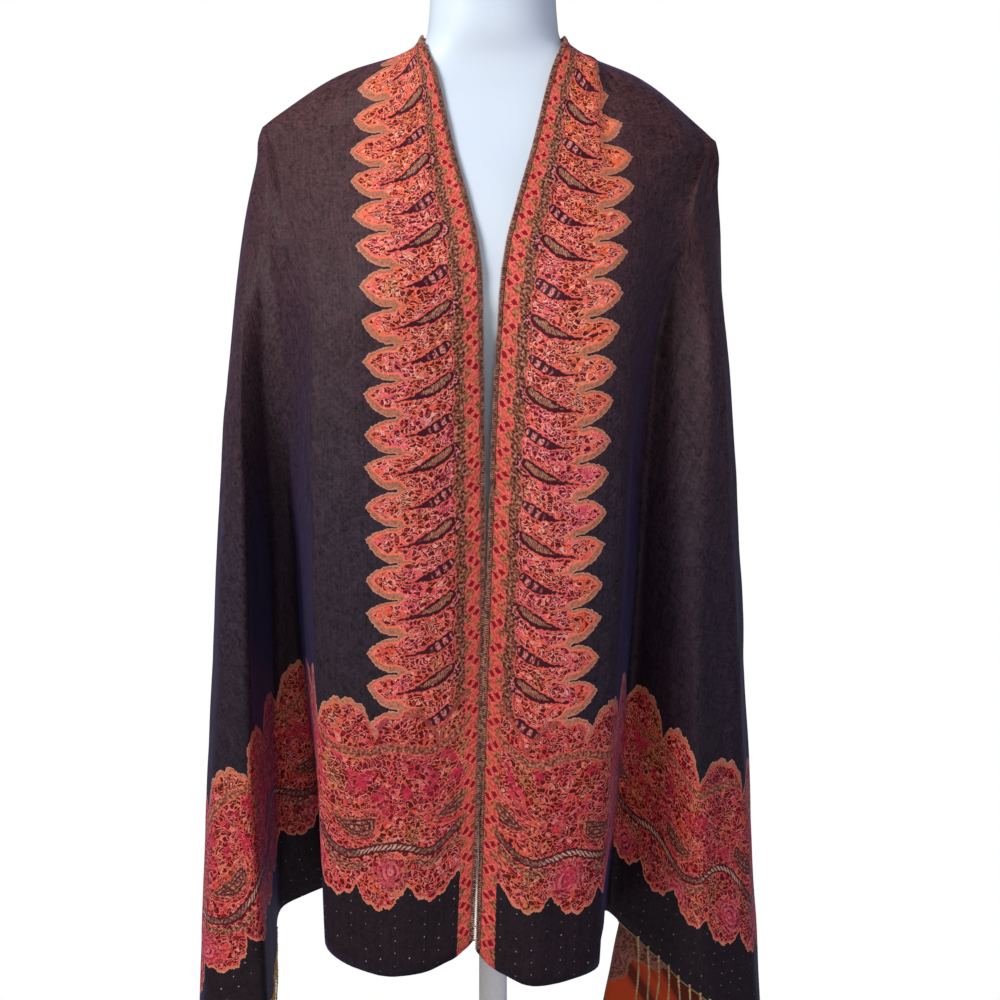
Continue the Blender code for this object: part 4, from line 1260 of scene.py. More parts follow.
def bright_warps(new, at):
    """Coral, drifting to orange near the neck and to pink lower down, in warp stripes and patches."""
    stripes = new("VectorMath:MULTIPLY", (at.place, STRIPE_GRAIN))
    stripes = new("TexNoise", {0: stripes, 2: 1.0, 3: 1.5})
    at.patches = new("VectorMath:MULTIPLY", (at.place, PATCH_GRAIN))
    at.patches = new("TexNoise", {0: at.patches, 2: 1.0, 3: 1.0, 8: 0.6})
    hue = new("Math:ADD", (new("Math:MULTIPLY", (stripes, 0.60)), new("Math:MULTIPLY", (at.patches, 0.50))))
    hue = new("Math:SUBTRACT", (hue, 0.05))
    border = new("ValToRGB", (hue,), stops=(
        (0.34, "apricot"), (0.40, "flame"), (0.50, "coral"), (0.58, "pink"), (0.68, "rose")))
    band = new("ValToRGB", (hue,), stops=(
        (0.34, "amber"), (0.41, "tangerine"), (0.47, "poppy"), (0.54, "cerise"), (0.59, "vermilion"),
        (0.65, "crimson"), (0.71, "wine")))
    heat = new("TexNoise", {0: new("CombineXYZ", (at.w, 3.1, 0.0)), 2: HEAT_GRAIN, 3: 1.0})
    heat = new("Math:MULTIPLY", (
        new("MapRange", (heat, 0.42, 0.60, 0.0, 0.60)), new("MapRange", (at.w, 0.36, 0.46, 1.0, 0.25))))
    at.warm = new("MapRange", (at.w, 0.20, 0.38, 0.50, 0.0))
    at.heat = new("Math:MAXIMUM", (heat, at.warm))
    return laid(new, border, [(at.in_band, band), (at.heat, YARN["orange"])])


def vermicelli(new, at, figure):
    """Beads 4 to 5 mm long, most with a dark ring round a bright or wine middle, parted by a bright net.

    The outline of the figured edges has no beads. dark is 1 where the darkest yarns show.
    """
    wide = new("MapRange", (at.over, 0.020, 0.045, 0.0014, 0.0050))
    wide = new("Mix", {0: at.in_band, 2: at.flank, 3: wide})
    at.from_rim = new("Math:SUBTRACT", (at.inside, wide))
    clear = new("MapRange", (at.from_rim, 0.0008, 0.0022, 0.0, 1.0))

    crimp = new("TexNoise", {0: at.uv, 2: CRIMP_GRAIN, 3: 0.0}, out=1)
    crimp = new("VectorMath:MULTIPLY_ADD", (crimp, (CRIMP, CRIMP, 0.0), (-CRIMP / 2, -CRIMP / 2, 0.0)))
    net_at = new("VectorMath:ADD", (new("VectorMath:ADD", (at.place, crimp)), at.drift))
    net_at = new("VectorMath:MULTIPLY", (net_at, (1.0, CELL_SQUEEZE, 1.0)))
    net_at = new("VectorMath:SCALE", {0: net_at, 3: new("Math:MULTIPLY_ADD", (at.in_band, -0.10, 1.0))})
    net = new("TexVoronoi", {0: net_at, 2: CELLS}, feature="DISTANCE_TO_EDGE")
    cell = new("TexVoronoi", {0: net_at, 2: CELLS}, out=1, feature="F1")
    at.chance = new("SeparateXYZ", (cell,))
    tint = at.chance.node.outputs[1]

    # fewer beads in the scallops' points
    calm = new("MapRange", (at.d, 0.066, 0.084, 0.90, 0.56))
    cover = new("Math:MAXIMUM", (calm, new("Math:MULTIPLY", (at.in_band, 0.94))))
    beaded = new("Math:LESS_THAN", (at.chance, cover))
    ring = new("Math:MULTIPLY", (
        new("MapRange", (net, 0.09, 0.14, 0.0, 1.0)), new("MapRange", (net, 0.30, 0.36, 1.0, 0.0))))
    ring = new("Math:MULTIPLY", (ring, beaded))
    middle = new("Math:MULTIPLY", (new("MapRange", (net, 0.30, 0.36, 0.0, 1.0)), beaded))
    curl = new("TexNoise", {0: net_at, 2: CURL_GRAIN, 3: 1.0, 8: 1.5})
    curl = new("Math:PINGPONG", (new("Math:MULTIPLY", (curl, 5.0)), 0.5))
    curl = new("Math:MULTIPLY", (
        new("MapRange", (curl, 0.07, 0.14, 1.0, 0.0)), new("Math:GREATER_THAN", (cover, 0.5))))
    at.dark = new("Math:MULTIPLY", (new("Math:MAXIMUM", (ring, new("Math:MULTIPLY", (curl, 0.80)))), clear))

    glint = new("Math:MULTIPLY", (
        new("MapRange", (net, 0.03, 0.09, 1.0, 0.0)), new("MapRange", (tint, 0.20, 0.70, 0.0, 0.95))))
    glint = new("Math:MULTIPLY", (glint, new("Math:MULTIPLY_ADD", (at.in_band, -0.08, 1.0))))
    pale = new("Mix", {0: at.warm, 6: YARN["peach"], 7: YARN["pale_orange"]}, **COLOURS)
    seed = new("ValToRGB", (tint,), stops=(
        (0.24, "ink"), (0.30, "wine"), (0.50, "scarlet"), (0.56, "coral"), (0.80, "peach")))
    ink = new("Mix", {0: new("MapRange", (tint, 0.66, 0.80, 0.0, 0.8)), 6: YARN["ink"], 7: YARN["garnet"]},
              **COLOURS)
    return laid(new, figure, [(glint, pale), (new("Math:MULTIPLY", (middle, clear)), seed), (at.dark, ink)])


def meander(new, at):
    """Mottled meander next to the strip, between two bright lines and, outside them, broken dark ones."""
    sway = new("Math:SINE", (new("Math:MULTIPLY", (at.along, 2 * math.pi / SCALLOP)),))
    middle = new("Math:MULTIPLY_ADD", (sway, MEANDER_SWAY, new("Math:ADD", (at.ragged, MEANDER_AT))))
    inner = new("Math:ABSOLUTE", (new("Math:SUBTRACT", (at.d, middle)),))
    inner = new("Math:SUBTRACT", (MEANDER_HALF, inner))
    at.cut = new("Math:SUBTRACT", (1.0, at.in_band))
    broken = new("Math:MULTIPLY", (at.cut, new("MapRange", (at.chance, 0.3, 0.5, 0.0, 1.0))))
    layers = []
    for start, stop, strength, where, colour in (
        (-0.0024, -0.0018, 0.85, broken, YARN["aubergine"]),
        (-0.0011, -0.0006, 0.80, at.cut, YARN["coral"]),
        (0.0, 0.0006, 1.0, at.cut, at.earth),
    ):
        shown = new("MapRange", (inner, start, stop, 0.0, strength))
        layers.append((new("Math:MULTIPLY", (shown, where)), colour))
    return layers


def border_paisleys(new, at):
    """Two kinds of slanted slim teardrop in turn, with a dark scroll round the head of one of them.

    Each has a bright halo, a dark ragged outline with a long tail, and a hatched or beaded fill.
    """
    w = new("Math:FRACT", (new("Math:MULTIPLY_ADD", (at.along, 1 / PAIR, 0.5)),))
    w = new("Math:MULTIPLY", (w, PAIR))
    ragged = new("TexNoise", {0: at.place, 2: TAIL_GRAIN, 3: 1.0})
    ragged = new("Math:MULTIPLY_ADD", (ragged, TAIL_RAGGED, -TAIL_RAGGED / 2))
    crown = [new("Math:SUBTRACT", (place, middle)) for place, middle in zip((at.d, w), CROWN_AT)]
    crown = new("VectorMath:LENGTH", (new("CombineXYZ", (*crown, 0.0)),), out=1)
    crown = new("Math:ADD", (crown, ragged))
    scroll = new("Math:SINE", (new("Math:MULTIPLY", (crown, 2 * math.pi / SCROLL_PITCH)),))
    scroll = new("MapRange", (new("Math:MULTIPLY_ADD", (scroll, 0.10, at.speck)), 0.50, 0.60, 0.0, 1.0))
    scroll = new("Mix", {0: scroll, 6: YARN["aubergine"], 7: YARN["scroll"]}, **COLOURS)
    shown = new("MapRange", (crown, CROWN_RADIUS - 0.0006, CROWN_RADIUS, 1.0, 0.0))
    layers = [(new("Math:MULTIPLY", (shown, at.cut)), scroll)]
    for tail_d, tail_w, head_d, head_w, half, outline_wide, shift, fill in PAISLEYS:
        run_d, run_w = head_d - tail_d, head_w - tail_w
        length = math.hypot(run_d, run_w)
        run_d, run_w = run_d / length, run_w / length
        from_d = new("Math:SUBTRACT", (at.d, tail_d))
        from_w = new("Math:SUBTRACT", (w, tail_w))
        x = new("Math:MULTIPLY_ADD", (from_d, run_d, new("Math:MULTIPLY", (from_w, run_w))))
        y = new("Math:MULTIPLY_ADD", (from_d, run_w, new("Math:MULTIPLY", (from_w, -run_d))))
        share = new("Math:DIVIDE", (x, length))
        left = new("Math:SUBTRACT", (1.0, new("Math:MAXIMUM", (share, 0.0))))
        y = new("Math:MULTIPLY_ADD", (new("Math:MULTIPLY", (left, left)), TAIL_BEND, y))
        wide = new("FloatCurve", {1: share}, points=(
            (0.0, 0.14), (0.22, 0.22), (0.38, 0.50), (0.56, 0.84), (0.76, 1.0), (0.90, 0.88), (0.97, 0.55),
            (1.0, 0.0)))
        wide = new("Math:MULTIPLY_ADD", (wide, half, ragged))
        ends = new("Math:MINIMUM", (x, new("Math:SUBTRACT", (length, x))))
        whole = new("Math:SUBTRACT", (wide, new("Math:ABSOLUTE", (y,))))
        whole = new("Math:MINIMUM", (whole, ends))
        body = new("Math:SUBTRACT", (wide, new("Math:ABSOLUTE", (new("Math:ADD", (y, shift)),))))
        body = new("Math:SUBTRACT", (new("Math:MINIMUM", (body, ends)), outline_wide))
        core = new("MapRange", (body, 0.0, 0.0006, 0.0, 1.0))
        if fill == "hatched":
            lines = new("Math:MULTIPLY", (new("Math:ADD", (x, y)), 2 * math.pi / HATCH_PITCH))
            lines = new("Math:SINE", (lines,))
            lines = new("Math:MULTIPLY_ADD", (lines, 0.40, new("Math:MULTIPLY_ADD", (at.speck, 2.0, -0.65))))
            inner = new("Mix", {0: lines, 6: YARN["hatch_dark"], 7: YARN["hatch_light"]}, **COLOURS)
        else:
            beads = new("Math:SINE", (new("Math:MULTIPLY_ADD", (x, 2 * math.pi / BEAD_PITCH, 1.2)),))
            inner = new("Mix", {0: new("MapRange", (at.speck, 0.42, 0.54, 0.0, 1.0)), 6: YARN["bead_dark"],
                                7: YARN["bead_light"]}, **COLOURS)
            beads = new("MapRange", (beads, -0.6, 0.2, 0.0, 1.0))
            inner = new("Mix", {0: beads, 6: YARN["aubergine"], 7: inner}, **COLOURS)
            core = new("Math:MULTIPLY", (core, new("MapRange", (share, 0.48, 0.54, 0.0, 1.0))))
        halo = new("MapRange", (whole, -0.0018, -0.0010, 0.0, 0.7))
        shape = new("MapRange", (whole, -0.0003, 0.0003, 0.0, 1.0))
        for shown, colour in ((halo, YARN["coral"]), (shape, YARN["aubergine"]), (core, inner)):
            layers.append((new("Math:MULTIPLY", (shown, at.cut)), colour))
    return layers


def selvedge_strip(new, at):
    """Coral strip with speckled gold-brown triangles from both sides and pairs of wine lozenges."""
    # the lozenges lean along the shoulder line near the neck
    lean = new("MapRange", (at.w, 0.085, HALF, 0.50, 0.0))
    share = new("Math:DIVIDE", (new("Math:MULTIPLY_ADD", (lean, at.d, at.w)), LOZENGE_PITCH))
    share = new("Math:FRACT", (share,))
    local = new("Math:MULTIPLY", (share, LOZENGE_PITCH))
    tooth = new("Math:PINGPONG", (new("Math:SUBTRACT", (share, 0.30)), 0.5))
    inner = new("Math:GREATER_THAN", (at.d, new("Math:MULTIPLY_ADD", (tooth, -0.0240, 0.0212))))
    outer = new("Math:LESS_THAN", (at.d, new("Math:MULTIPLY_ADD", (tooth, -0.0140, 0.0082))))
    teeth = new("Math:MULTIPLY", (new("Math:MAXIMUM", (inner, outer)), 0.85))
    ground, gold = (
        new("Mix", {0: new("MapRange", (at.speck, low, high, 0.0, 1.0)), 6: YARN[name + "_dark"],
                    7: YARN[name + "_light"]}, **COLOURS)
        for name, low, high in (("strip", 0.42, 0.58), ("gold", 0.44, 0.56)))
    layers = [(teeth, gold)]
    for at_d, at_v in LOZENGES:
        off_d = new("Math:MULTIPLY", (new("Math:ABSOLUTE", (new("Math:SUBTRACT", (at.d, at_d)),)), 0.90))
        off_v = new("Math:ABSOLUTE", (new("Math:SUBTRACT", (local, at_v)),))
        lozenge = new("Math:MULTIPLY_ADD", (at.speck, 0.0040, 0.0014))
        lozenge = new("Math:SUBTRACT", (lozenge, new("Math:ADD", (off_d, off_v))))
        for start, stop, yarn in ((-0.0009, -0.0005, "lozenge_line"), (0.0, 0.0004, "wine"),
                                  (0.0012, 0.0018, "lozenge_heart")):
            layers.append((new("MapRange", (lozenge, start, stop, 0.0, 1.0)), YARN[yarn]))
    strip = laid(new, ground, layers)
    # last, painted shade: dark brown under the overlock, for the shaded gaps between its stitches and the
    # edge's turn
    return [(new("MapRange", (at.strip, 0.0, 0.0004, 0.0, 1.0)), strip),
            (new("Math:LESS_THAN", (at.d, EDGE_SHADE)), YARN["edge_shade_brown"])]


def band_figures(new, at):
    """Magenta patches, a mottled wave under the lobes, large teardrops, a ribbon and rosettes."""
    phase = new("Math:MULTIPLY_ADD", (at.u, 2 * math.pi / RIBBON_PITCH, 2.2))
    wave = new("Math:SINE", (phase,))
    slow = new("Math:SINE", (new("Math:MULTIPLY_ADD", (phase, 0.5, 0.4)),))
    layers = magenta_patches(new, at, wave) + upper_wave(new, at, wave, slow)
    layers += large_teardrops(new, at, phase, slow)

    level = new("Math:MULTIPLY_ADD", (slow, 0.0085, RIBBON_AT))
    level = new("Math:MULTIPLY_ADD", (wave, 0.0080, level))
    off = new("Math:ADD", (new("Math:SUBTRACT", (at.e, level)), new("Math:MULTIPLY", (at.wander, 0.35))))
    layers += ribbon(new, at, wave, off) + rosettes(new, at, wave, off)
    return [(new("Math:MULTIPLY", (shown, at.in_band)), colour) for shown, colour in layers]


def magenta_patches(new, at, wave):
    """Solid magenta here and there through the middle of the band."""
    middle = new("Math:SUBTRACT", (new("Math:MULTIPLY_ADD", (wave, 0.008, at.e)), MAGENTA_AT))
    middle = new("MapRange", (new("Math:ABSOLUTE", (middle,)), 0.010, 0.030, 1.0, 0.0))
    solid = new("Math:MULTIPLY", (middle, new("MapRange", (at.patches, 0.53, 0.60, 0.0, 0.75))))
    solid = new("Math:MULTIPLY", (solid, new("MapRange", (at.chance, 0.2, 0.5, 0.2, 1.0))))
    return [(solid, YARN["magenta"])]


def upper_wave(new, at, wave, slow):
    """Mottled wave under the lobes, with a bright line on both sides."""
    level = new("Math:MULTIPLY_ADD", (slow, 0.006, UPPER_AT))
    level = new("Math:MULTIPLY_ADD", (wave, 0.0060, level))
    level = new("Math:ADD", (level, new("Math:MULTIPLY", (at.wander, 0.5))))
    inner = new("Math:ABSOLUTE", (new("Math:SUBTRACT", (at.e, level)),))
    inner = new("Math:SUBTRACT", (UPPER_HALF, inner))
    return [(new("MapRange", (inner, -0.0014, -0.0008, 0.0, 0.35)), YARN["coral"]),
            (new("MapRange", (inner, 0.0, 0.0008, 0.0, 0.82)), at.earth)]


def large_teardrops(new, at, phase, slow):
    """Nested outlines round a mottled fill, one in each hollow of the ribbon."""
    centre = new("Math:FRACT", (new("Math:DIVIDE", (phase, 2 * math.pi)),))
    x = new("Math:MULTIPLY", (new("Math:SUBTRACT", (centre, 0.66)), RIBBON_PITCH))
    rise = new("Math:MULTIPLY_ADD", (new("Math:MULTIPLY", (x, x)), 14.0, DROP_AT))
    y = new("Math:SUBTRACT", (new("Math:SUBTRACT", (at.e, new("Math:MULTIPLY", (slow, 0.008)))), rise))
    share = new("Math:MULTIPLY_ADD", (x, 1 / DROP_LENGTH, 0.5))
    wide = new("FloatCurve", {1: share}, points=(
        (0.0, 0.0), (0.03, 0.42), (0.10, 0.76), (0.24, 1.0), (0.40, 0.95), (0.62, 0.60), (0.82, 0.28),
        (1.0, 0.06)))
    drop = new("Math:SUBTRACT", (new("Math:MULTIPLY", (wide, DROP_HALF)), new("Math:ABSOLUTE", (y,))))
    ends = new("Math:MINIMUM", (share, new("Math:SUBTRACT", (1.0, share))))
    drop = new("Math:MINIMUM", (drop, new("Math:MULTIPLY", (ends, DROP_LENGTH))))
    drop = new("Math:MULTIPLY_ADD", (at.wander, 0.16, drop))
    rings = new("MapRange", (new("Math:PINGPONG", (drop, DROP_RING)), 0.0004, 0.0009, 1.0, 0.0))
    fill = laid(new, YARN["coral"], [(new("MapRange", (drop, 0.0072, 0.0080, 0.0, 1.0)), at.earth),
                                     (rings, YARN["aubergine"])])
    heart = new("MapRange", (drop, 0.0068, 0.0080, 0.0, 0.9))
    edge = new("MapRange", (drop, 0.0028, 0.0034, 0.45, 0.12))
    shown = new("Math:MULTIPLY", (
        new("MapRange", (drop, 0.0, 0.0005, 0.0, 1.0)), new("Math:MAXIMUM", (edge, heart))))
    return [(shown, fill)]


def ribbon(new, at, wave, off):
    """Dark double ribbon with pale dashes on its crests, and a mottled wave under its hollows."""
    near = new("Math:ABSOLUTE", (off,))
    whole = new("MapRange", (near, RIBBON_HALF, RIBBON_HALF + 0.0005, 1.0, 0.0))
    core = new("MapRange", (near, RIBBON_CORE, RIBBON_CORE + 0.0005, 1.0, 0.0))
    dash = new("Math:MULTIPLY", (new("Math:ADD", (at.u, off)), 2 * math.pi / DASH_PITCH))
    dash = new("Math:SINE", (dash,))
    dash = new("Math:SUBTRACT", (dash, new("Math:MULTIPLY", (near, 380.0))))
    dash = new("Math:MULTIPLY", (
        new("MapRange", (dash, -0.25, 0.15, 0.0, 1.0)), new("MapRange", (wave, -0.5, 0.2, 0.10, 1.0))))
    inner = laid(new, YARN["aubergine"], [(0.55, at.earth), (dash, YARN["dash"])])
    inner = new("Mix", {0: core, 6: YARN["aubergine"], 7: inner}, **COLOURS)
    under = new("Math:ABSOLUTE", (new("Math:ADD", (off, UNDER_AT)),))
    under = new("MapRange", (new("Math:SUBTRACT", (UNDER_HALF, under)), 0.0, 0.0006, 0.0, 0.9))
    under = new("Math:MULTIPLY", (under, new("MapRange", (wave, -0.2, 0.3, 1.0, 0.0))))
    return [(whole, inner), (under, at.earth)]


def rosettes(new, at, wave, off):
    """Broken rings on a pink round, under the ribbon."""
    part = new("Math:FRACT", (new("Math:MULTIPLY_ADD", (at.u, 1 / ROSETTE_PITCH, 0.42)),))
    across = new("Math:MULTIPLY", (new("Math:SUBTRACT", (part, 0.5)), ROSETTE_PITCH))
    up = new("Math:MULTIPLY_ADD", (wave, -0.006, new("Math:SUBTRACT", (at.e, ROSETTE_AT))))
    radius = new("VectorMath:LENGTH", (new("CombineXYZ", (across, up, 0.0)),), out=1)
    rings = new("Math:PINGPONG", (new("Math:MULTIPLY_ADD", (at.wander, 0.80, radius)), ROSETTE_RING))
    rings = new("MapRange", (rings, 0.0007, 0.0012, 1.0, 0.0))
    rings = new("Math:MULTIPLY", (rings, new("MapRange", (at.chance, 0.35, 0.50, 0.0, 1.0))))
    shown = new("MapRange", (radius, 0.0060, ROSETTE_RADIUS, 0.72, 0.0))
    shown = new("Math:MULTIPLY", (shown, new("MapRange", (off, -0.0060, -0.0052, 1.0, 0.0))))
    pink = new("Mix", {0: new("MapRange", (at.chance, 0.30, 0.70, 0.0, 1.0)), 6: YARN["rosette_dark"],
                       7: YARN["rosette_light"]}, **COLOURS)
    pink = new("Mix", {0: rings, 6: pink, 7: YARN["rosette_line"]}, **COLOURS)
    return [(shown, pink)]


def outline(new, at):
    """Outline of every figured edge: hatched taupe, with a salmon outer line and an orange inner one."""
    hatch = new("Math:MULTIPLY", (new("Math:ADD", (at.d, at.w)), 2 * math.pi / RIM_PITCH))
    hatch = new("Math:SINE", (hatch,))
    hatch = new("Math:MULTIPLY_ADD", (at.speck, 2.2, new("Math:MULTIPLY_ADD", (hatch, 0.32, -0.75))))
    rim = new("Mix", {0: hatch, 6: YARN["taupe"], 7: YARN["umber"]}, **COLOURS)
    rim = laid(new, rim, [(new("MapRange", (at.inside, 0.0006, 0.0014, 0.85, 0.0)), YARN["rim_line"]),
                          (new("Math:MULTIPLY", (at.heat, 0.4)), YARN["rim_orange"])])
    out_of_strip = new("Math:GREATER_THAN", (at.d, STRIP_EDGE))
    line = new("Math:MULTIPLY", (new("MapRange", (at.from_rim, 0.0010, 0.0020, 0.70, 0.0)), out_of_strip))
    line = new("Math:MULTIPLY", (line, new("Math:MULTIPLY_ADD", (at.in_band, -0.55, 1.0))))
    edge = new("Math:MULTIPLY", (new("MapRange", (at.from_rim, -0.0004, 0.0006, 1.0, 0.0)), out_of_strip))
    return [(line, YARN["inner_line"]), (edge, rim)]


def surface(name, colour=None, roughness=0.6, **sockets):
    """A material with one Principled shader. Gives it with its tree and shader."""
    material = bpy.data.materials.new(name)
    material.use_nodes = True
    shader = material.node_tree.nodes["Principled BSDF"]
    shader.inputs["Roughness"].default_value = roughness
    if colour:
        shader.inputs["Base Color"].default_value = linear(colour)
    for socket, value in sockets.items():
        shader.inputs[socket.replace("_", " ")].default_value = value
    return material, material.node_tree, shader


def jacquard_face(design):
    """Viscose and wool jacquard twill, face side: fine thread, lustrous floats over a dark shot ground."""
    material, tree, shader = surface(
        "viscose_jacquard_face", roughness=0.58, Sheen_Weight=0.15, Sheen_Roughness=0.40,
        Sheen_Tint=linear("#8a82dc"), Specular_IOR_Level=0.16)
    new = functools.partial(add, tree)
    group = new("Group", node_tree=design)
    outputs = group.node.outputs
    tree.links.new(outputs["Colour"], shader.inputs["Base Color"])
    uv = new("UVMap", uv_map="cloth")
    # the wave texture's diagonal bands turn by ten radians for each unit along either axis
    scale = 2 * math.pi / (10 * math.sqrt(2) * TWILL_PITCH)
    twill = new("TexWave", {0: uv, 1: scale, 2: 0.6}, out=1, bands_direction="DIAGONAL")
    height = new("Math:ADD", (outputs["Relief"], new("Math:MULTIPLY", (twill, 0.30))))
    bump = new("Bump", {"Strength": 0.35, "Distance": FLOAT_HEIGHT, "Height": height})
    tree.links.new(bump, shader.inputs["Normal"])
    return material


def jacquard_reverse(design):
    """The cloth from its other side: coral weft behind the dark ground, and the figure browner and matt."""
    material, tree, shader = surface("viscose_jacquard_reverse", roughness=0.78, Sheen_Weight=0.12,
                                     Sheen_Roughness=0.5, Specular_IOR_Level=0.2)
    new = functools.partial(add, tree)
    group = new("Group", node_tree=design)
    outputs = group.node.outputs
    dull = new("HueSaturation", (0.5, 0.85, 0.62, 1.0, outputs["Colour"]))
    uv = new("UVMap", uv_map="cloth")
    streak = new("TexNoise", {0: new("VectorMath:MULTIPLY", (uv, STREAK_GRAIN)), 2: 1.0, 3: 1.0})
    streak = new("MapRange", (streak, 0.38, 0.54, 0.0, 1.0))
    brown = new("Mix", {0: 0.38, 6: dull, 7: linear("#6b4a2c")}, **COLOURS)
    weft = laid(new, linear("#64200f"), [(streak, linear("#c4421a")), (outputs["Figured"], brown)])
    tree.links.new(weft, shader.inputs["Base Color"])
    bump = new("Bump", {"Strength": 0.30, "Distance": FLOAT_HEIGHT, "Height": outputs["Relief"]})
    tree.links.new(bump, shader.inputs["Normal"])
    return material


def spun_thread(name, first, second):
    """Spun thread: matt, and slightly uneven in colour along its length."""
    material, tree, shader = surface(name, roughness=0.75, Sheen_Weight=0.2)
    new = functools.partial(add, tree)
    # it changes colour about every 2.4 mm
    mottle = new("TexNoise", {0: new("TexCoord", out=3), 2: 420.0, 3: 1.0})
    mottle = new("MapRange", (mottle, 0.40, 0.60, 0.0, 1.0))
    colour = new("Mix", {0: mottle, 6: linear(first), 7: linear(second)}, **COLOURS)
    tree.links.new(colour, shader.inputs["Base Color"])
    return material


def form_foam():
    """Moulded expanded polystyrene under a white skin: near white, soft gloss, hardly visible pebbling."""
    material, tree, shader = surface("white_polystyrene_skin", roughness=0.45, Specular_IOR_Level=0.4)
    new = functools.partial(add, tree)
    at = new("TexCoord", out=3)
    cloud = new("MapRange", (new("TexNoise", {0: at, 2: 9.0, 3: 2.0}), 0.35, 0.65, 0.0, 1.0))
    colour = new("Mix", {0: cloud, 6: linear("#deebfa"), 7: linear("#e4effc")}, **COLOURS)
    tree.links.new(colour, shader.inputs["Base Color"])
    # the beads of the foam are 2 to 3 mm across
    pebble = new("TexVoronoi", {0: at, 2: 420.0}, feature="SMOOTH_F1")
    bump = new("Bump", {"Strength": 0.10, "Distance": 0.0004, "Height": pebble})
    tree.links.new(bump, shader.inputs["Normal"])
    return material


def stand_enamel():
    """White powder-coated steel: even white, satin, with a faint orange-peel texture."""
    material, tree, shader = surface("white_powder_coat", roughness=0.38, Specular_IOR_Level=0.5)
    new = functools.partial(add, tree)
    # the peel's bumps are about 1.5 mm across
    peel = new("TexNoise", {0: new("TexCoord", out=3), 2: 650.0, 3: 1.0})
    tone = new("MapRange", (peel, 0.40, 0.60, 0.0, 1.0))
    colour = new("Mix", {0: tone, 6: linear("#e4e5e7"), 7: linear("#ececee")}, **COLOURS)
    tree.links.new(colour, shader.inputs["Base Color"])
    bump = new("Bump", {"Strength": 0.12, "Distance": 0.0003, "Height": peel})
    tree.links.new(bump, shader.inputs["Normal"])
    return material


# ---------------------------------------------------------------- studio

CAMERA_Y = -1.600
CAMERA_Z = 0.992
PICTURE = 1000            # the render's width in pixels
METRES_A_PIXEL = 0.0009   # at the plane of the shoulders
CENTRE_X = 493            # pixels from the render's left side to x = 0
HORIZON_Y = 460           # pixels from its top to the camera's height
SENSOR = 36.0             # in millimetres
FLOOR_RADIUS = 1.5
FLOOR_Z = -0.001          # clear of the base plate

WORLD_LIGHT = 0.20        # strength of the room's light, whose walls look plain white
LIGHTS = (
    # name, place, aimed at, diameter, power in watts, colour
    ("key_light", (-1.9, -1.8, 2.7), (0.0, 0.0, 1.0), 1.3, 80.0, "#ffffff"),
    ("fill_light", (0.15, -2.8, 1.15), (0.0, 0.0, 1.0), 0.6, 8.5, "#ffffff"),
    ("side_light", (2.0, -0.9, 1.3), (0.1, 0.0, 0.9), 1.0, 6.5, "#c0c8ff"),
)


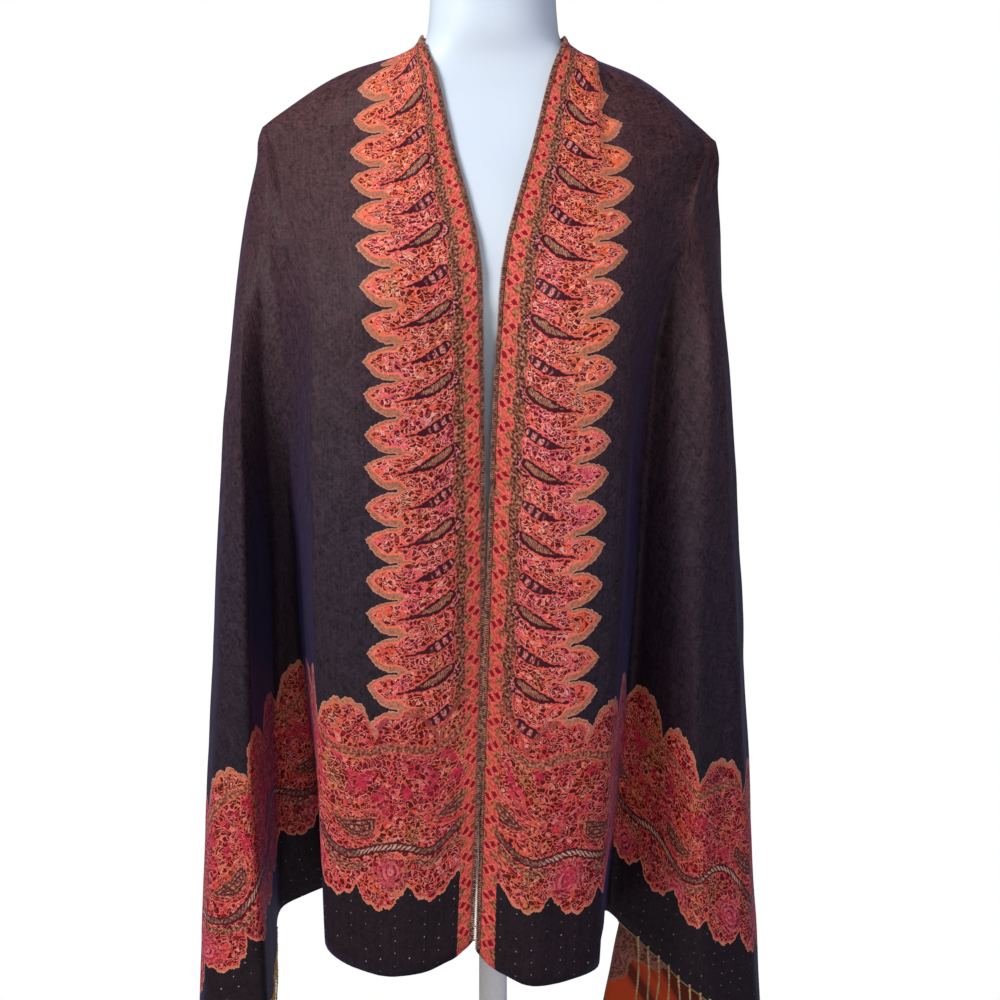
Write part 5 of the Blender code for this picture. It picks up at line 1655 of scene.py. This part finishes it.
def studio():
    """Camera at waist height, white room, pale floor, a large key light, a soft fill, a faint side light."""
    camera = bpy.data.objects.new("camera", bpy.data.cameras.new("camera"))
    bpy.context.scene.collection.objects.link(camera)
    camera.location = (0.0, CAMERA_Y, CAMERA_Z)
    camera.rotation_euler = (math.radians(90), 0, 0)
    camera.data.sensor_width = SENSOR
    camera.data.lens = SENSOR * (-CAMERA_Y / METRES_A_PIXEL) / PICTURE
    camera.data.shift_x = 0.5 - CENTRE_X / PICTURE
    camera.data.shift_y = HORIZON_Y / PICTURE - 0.5
    bpy.context.scene.camera = camera

    bm = bmesh.new()
    bmesh.ops.create_circle(bm, cap_ends=True, segments=96, radius=FLOOR_RADIUS)
    bmesh.ops.translate(bm, verts=bm.verts, vec=(0, 0, FLOOR_Z))
    paper = surface("pale_studio_floor", "#f2f2f2", 0.8)[0]
    object_from(bm, "studio_floor", paper)

    world = bpy.data.worlds.new("white_room")
    bpy.context.scene.world = world
    world.use_nodes = True
    tree = world.node_tree
    back = tree.nodes["Background"]
    back.inputs["Color"].default_value = (1.0, 1.0, 1.0, 1.0)
    seen = add(tree, "LightPath")
    strength = add(tree, "Math:MULTIPLY_ADD", (seen, 1.0 - WORLD_LIGHT, WORLD_LIGHT))
    tree.links.new(strength, back.inputs["Strength"])

    for name, place, aim, size, power, colour in LIGHTS:
        data = bpy.data.lights.new(name, "AREA")
        data.shape = "DISK"
        data.size = size
        data.energy = power
        data.color = linear(colour)[:3]
        light = bpy.data.objects.new(name, data)
        light.location = place
        light.rotation_mode = "QUATERNION"
        light.rotation_quaternion = (Vector(aim) - Vector(place)).to_track_quat("-Z", "Y")
        bpy.context.scene.collection.objects.link(light)
    bpy.context.scene.view_settings.view_transform = "Standard"


# ---------------------------------------------------------------- build

def main():
    """Builds every piece, hides the imported parts that they replace, and attaches each one to the root."""
    design = woven_pattern()
    face, reverse = jacquard_face(design), jacquard_reverse(design)
    cloth = hung_cloth()
    shawl = shawl_mesh(cloth, face, reverse)
    thread = spun_thread("overlock_thread_mauve_brown", "#c8866a", "#643229")
    looper = spun_thread("looper_thread_brick", "#7c3a2c", "#5d2b26")
    yarn = spun_thread("spun_fringe_yarn_pale_gold", "#c9a873", "#a07c4c")
    picks = spun_thread("end_pick_yarn_olive", "#8a7148", "#6c5538")
    trims = overlock(cloth, "neck", thread, looper) + overlock(cloth, "outer", thread, looper)
    fringe = fringe_yarns(cloth, yarn)
    trims += [fringe, hem_cords(cloth, picks), loose_thread(looper)]
    form = dress_form(form_foam())
    enamel = stand_enamel()
    base = turned("base_plate", BASE_OUTLINE, 128, enamel)
    pole = turned("pole", POLE_OUTLINE, 64, enamel)

    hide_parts("shawl_left_front", "shawl_back", "shawl_right_front")
    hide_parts("fringe_left", "fringe_right")
    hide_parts("form_body")
    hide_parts("stand_base")
    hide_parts("stand_pole")
    for piece, slot in [(shawl, "shawl_cloth"), (form, "form_plastic"), (base, "stand_metal"),
                        (pole, "stand_metal")] + [(trim, "fringe_yarn") for trim in trims]:
        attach(piece, "root")


main()
studio()
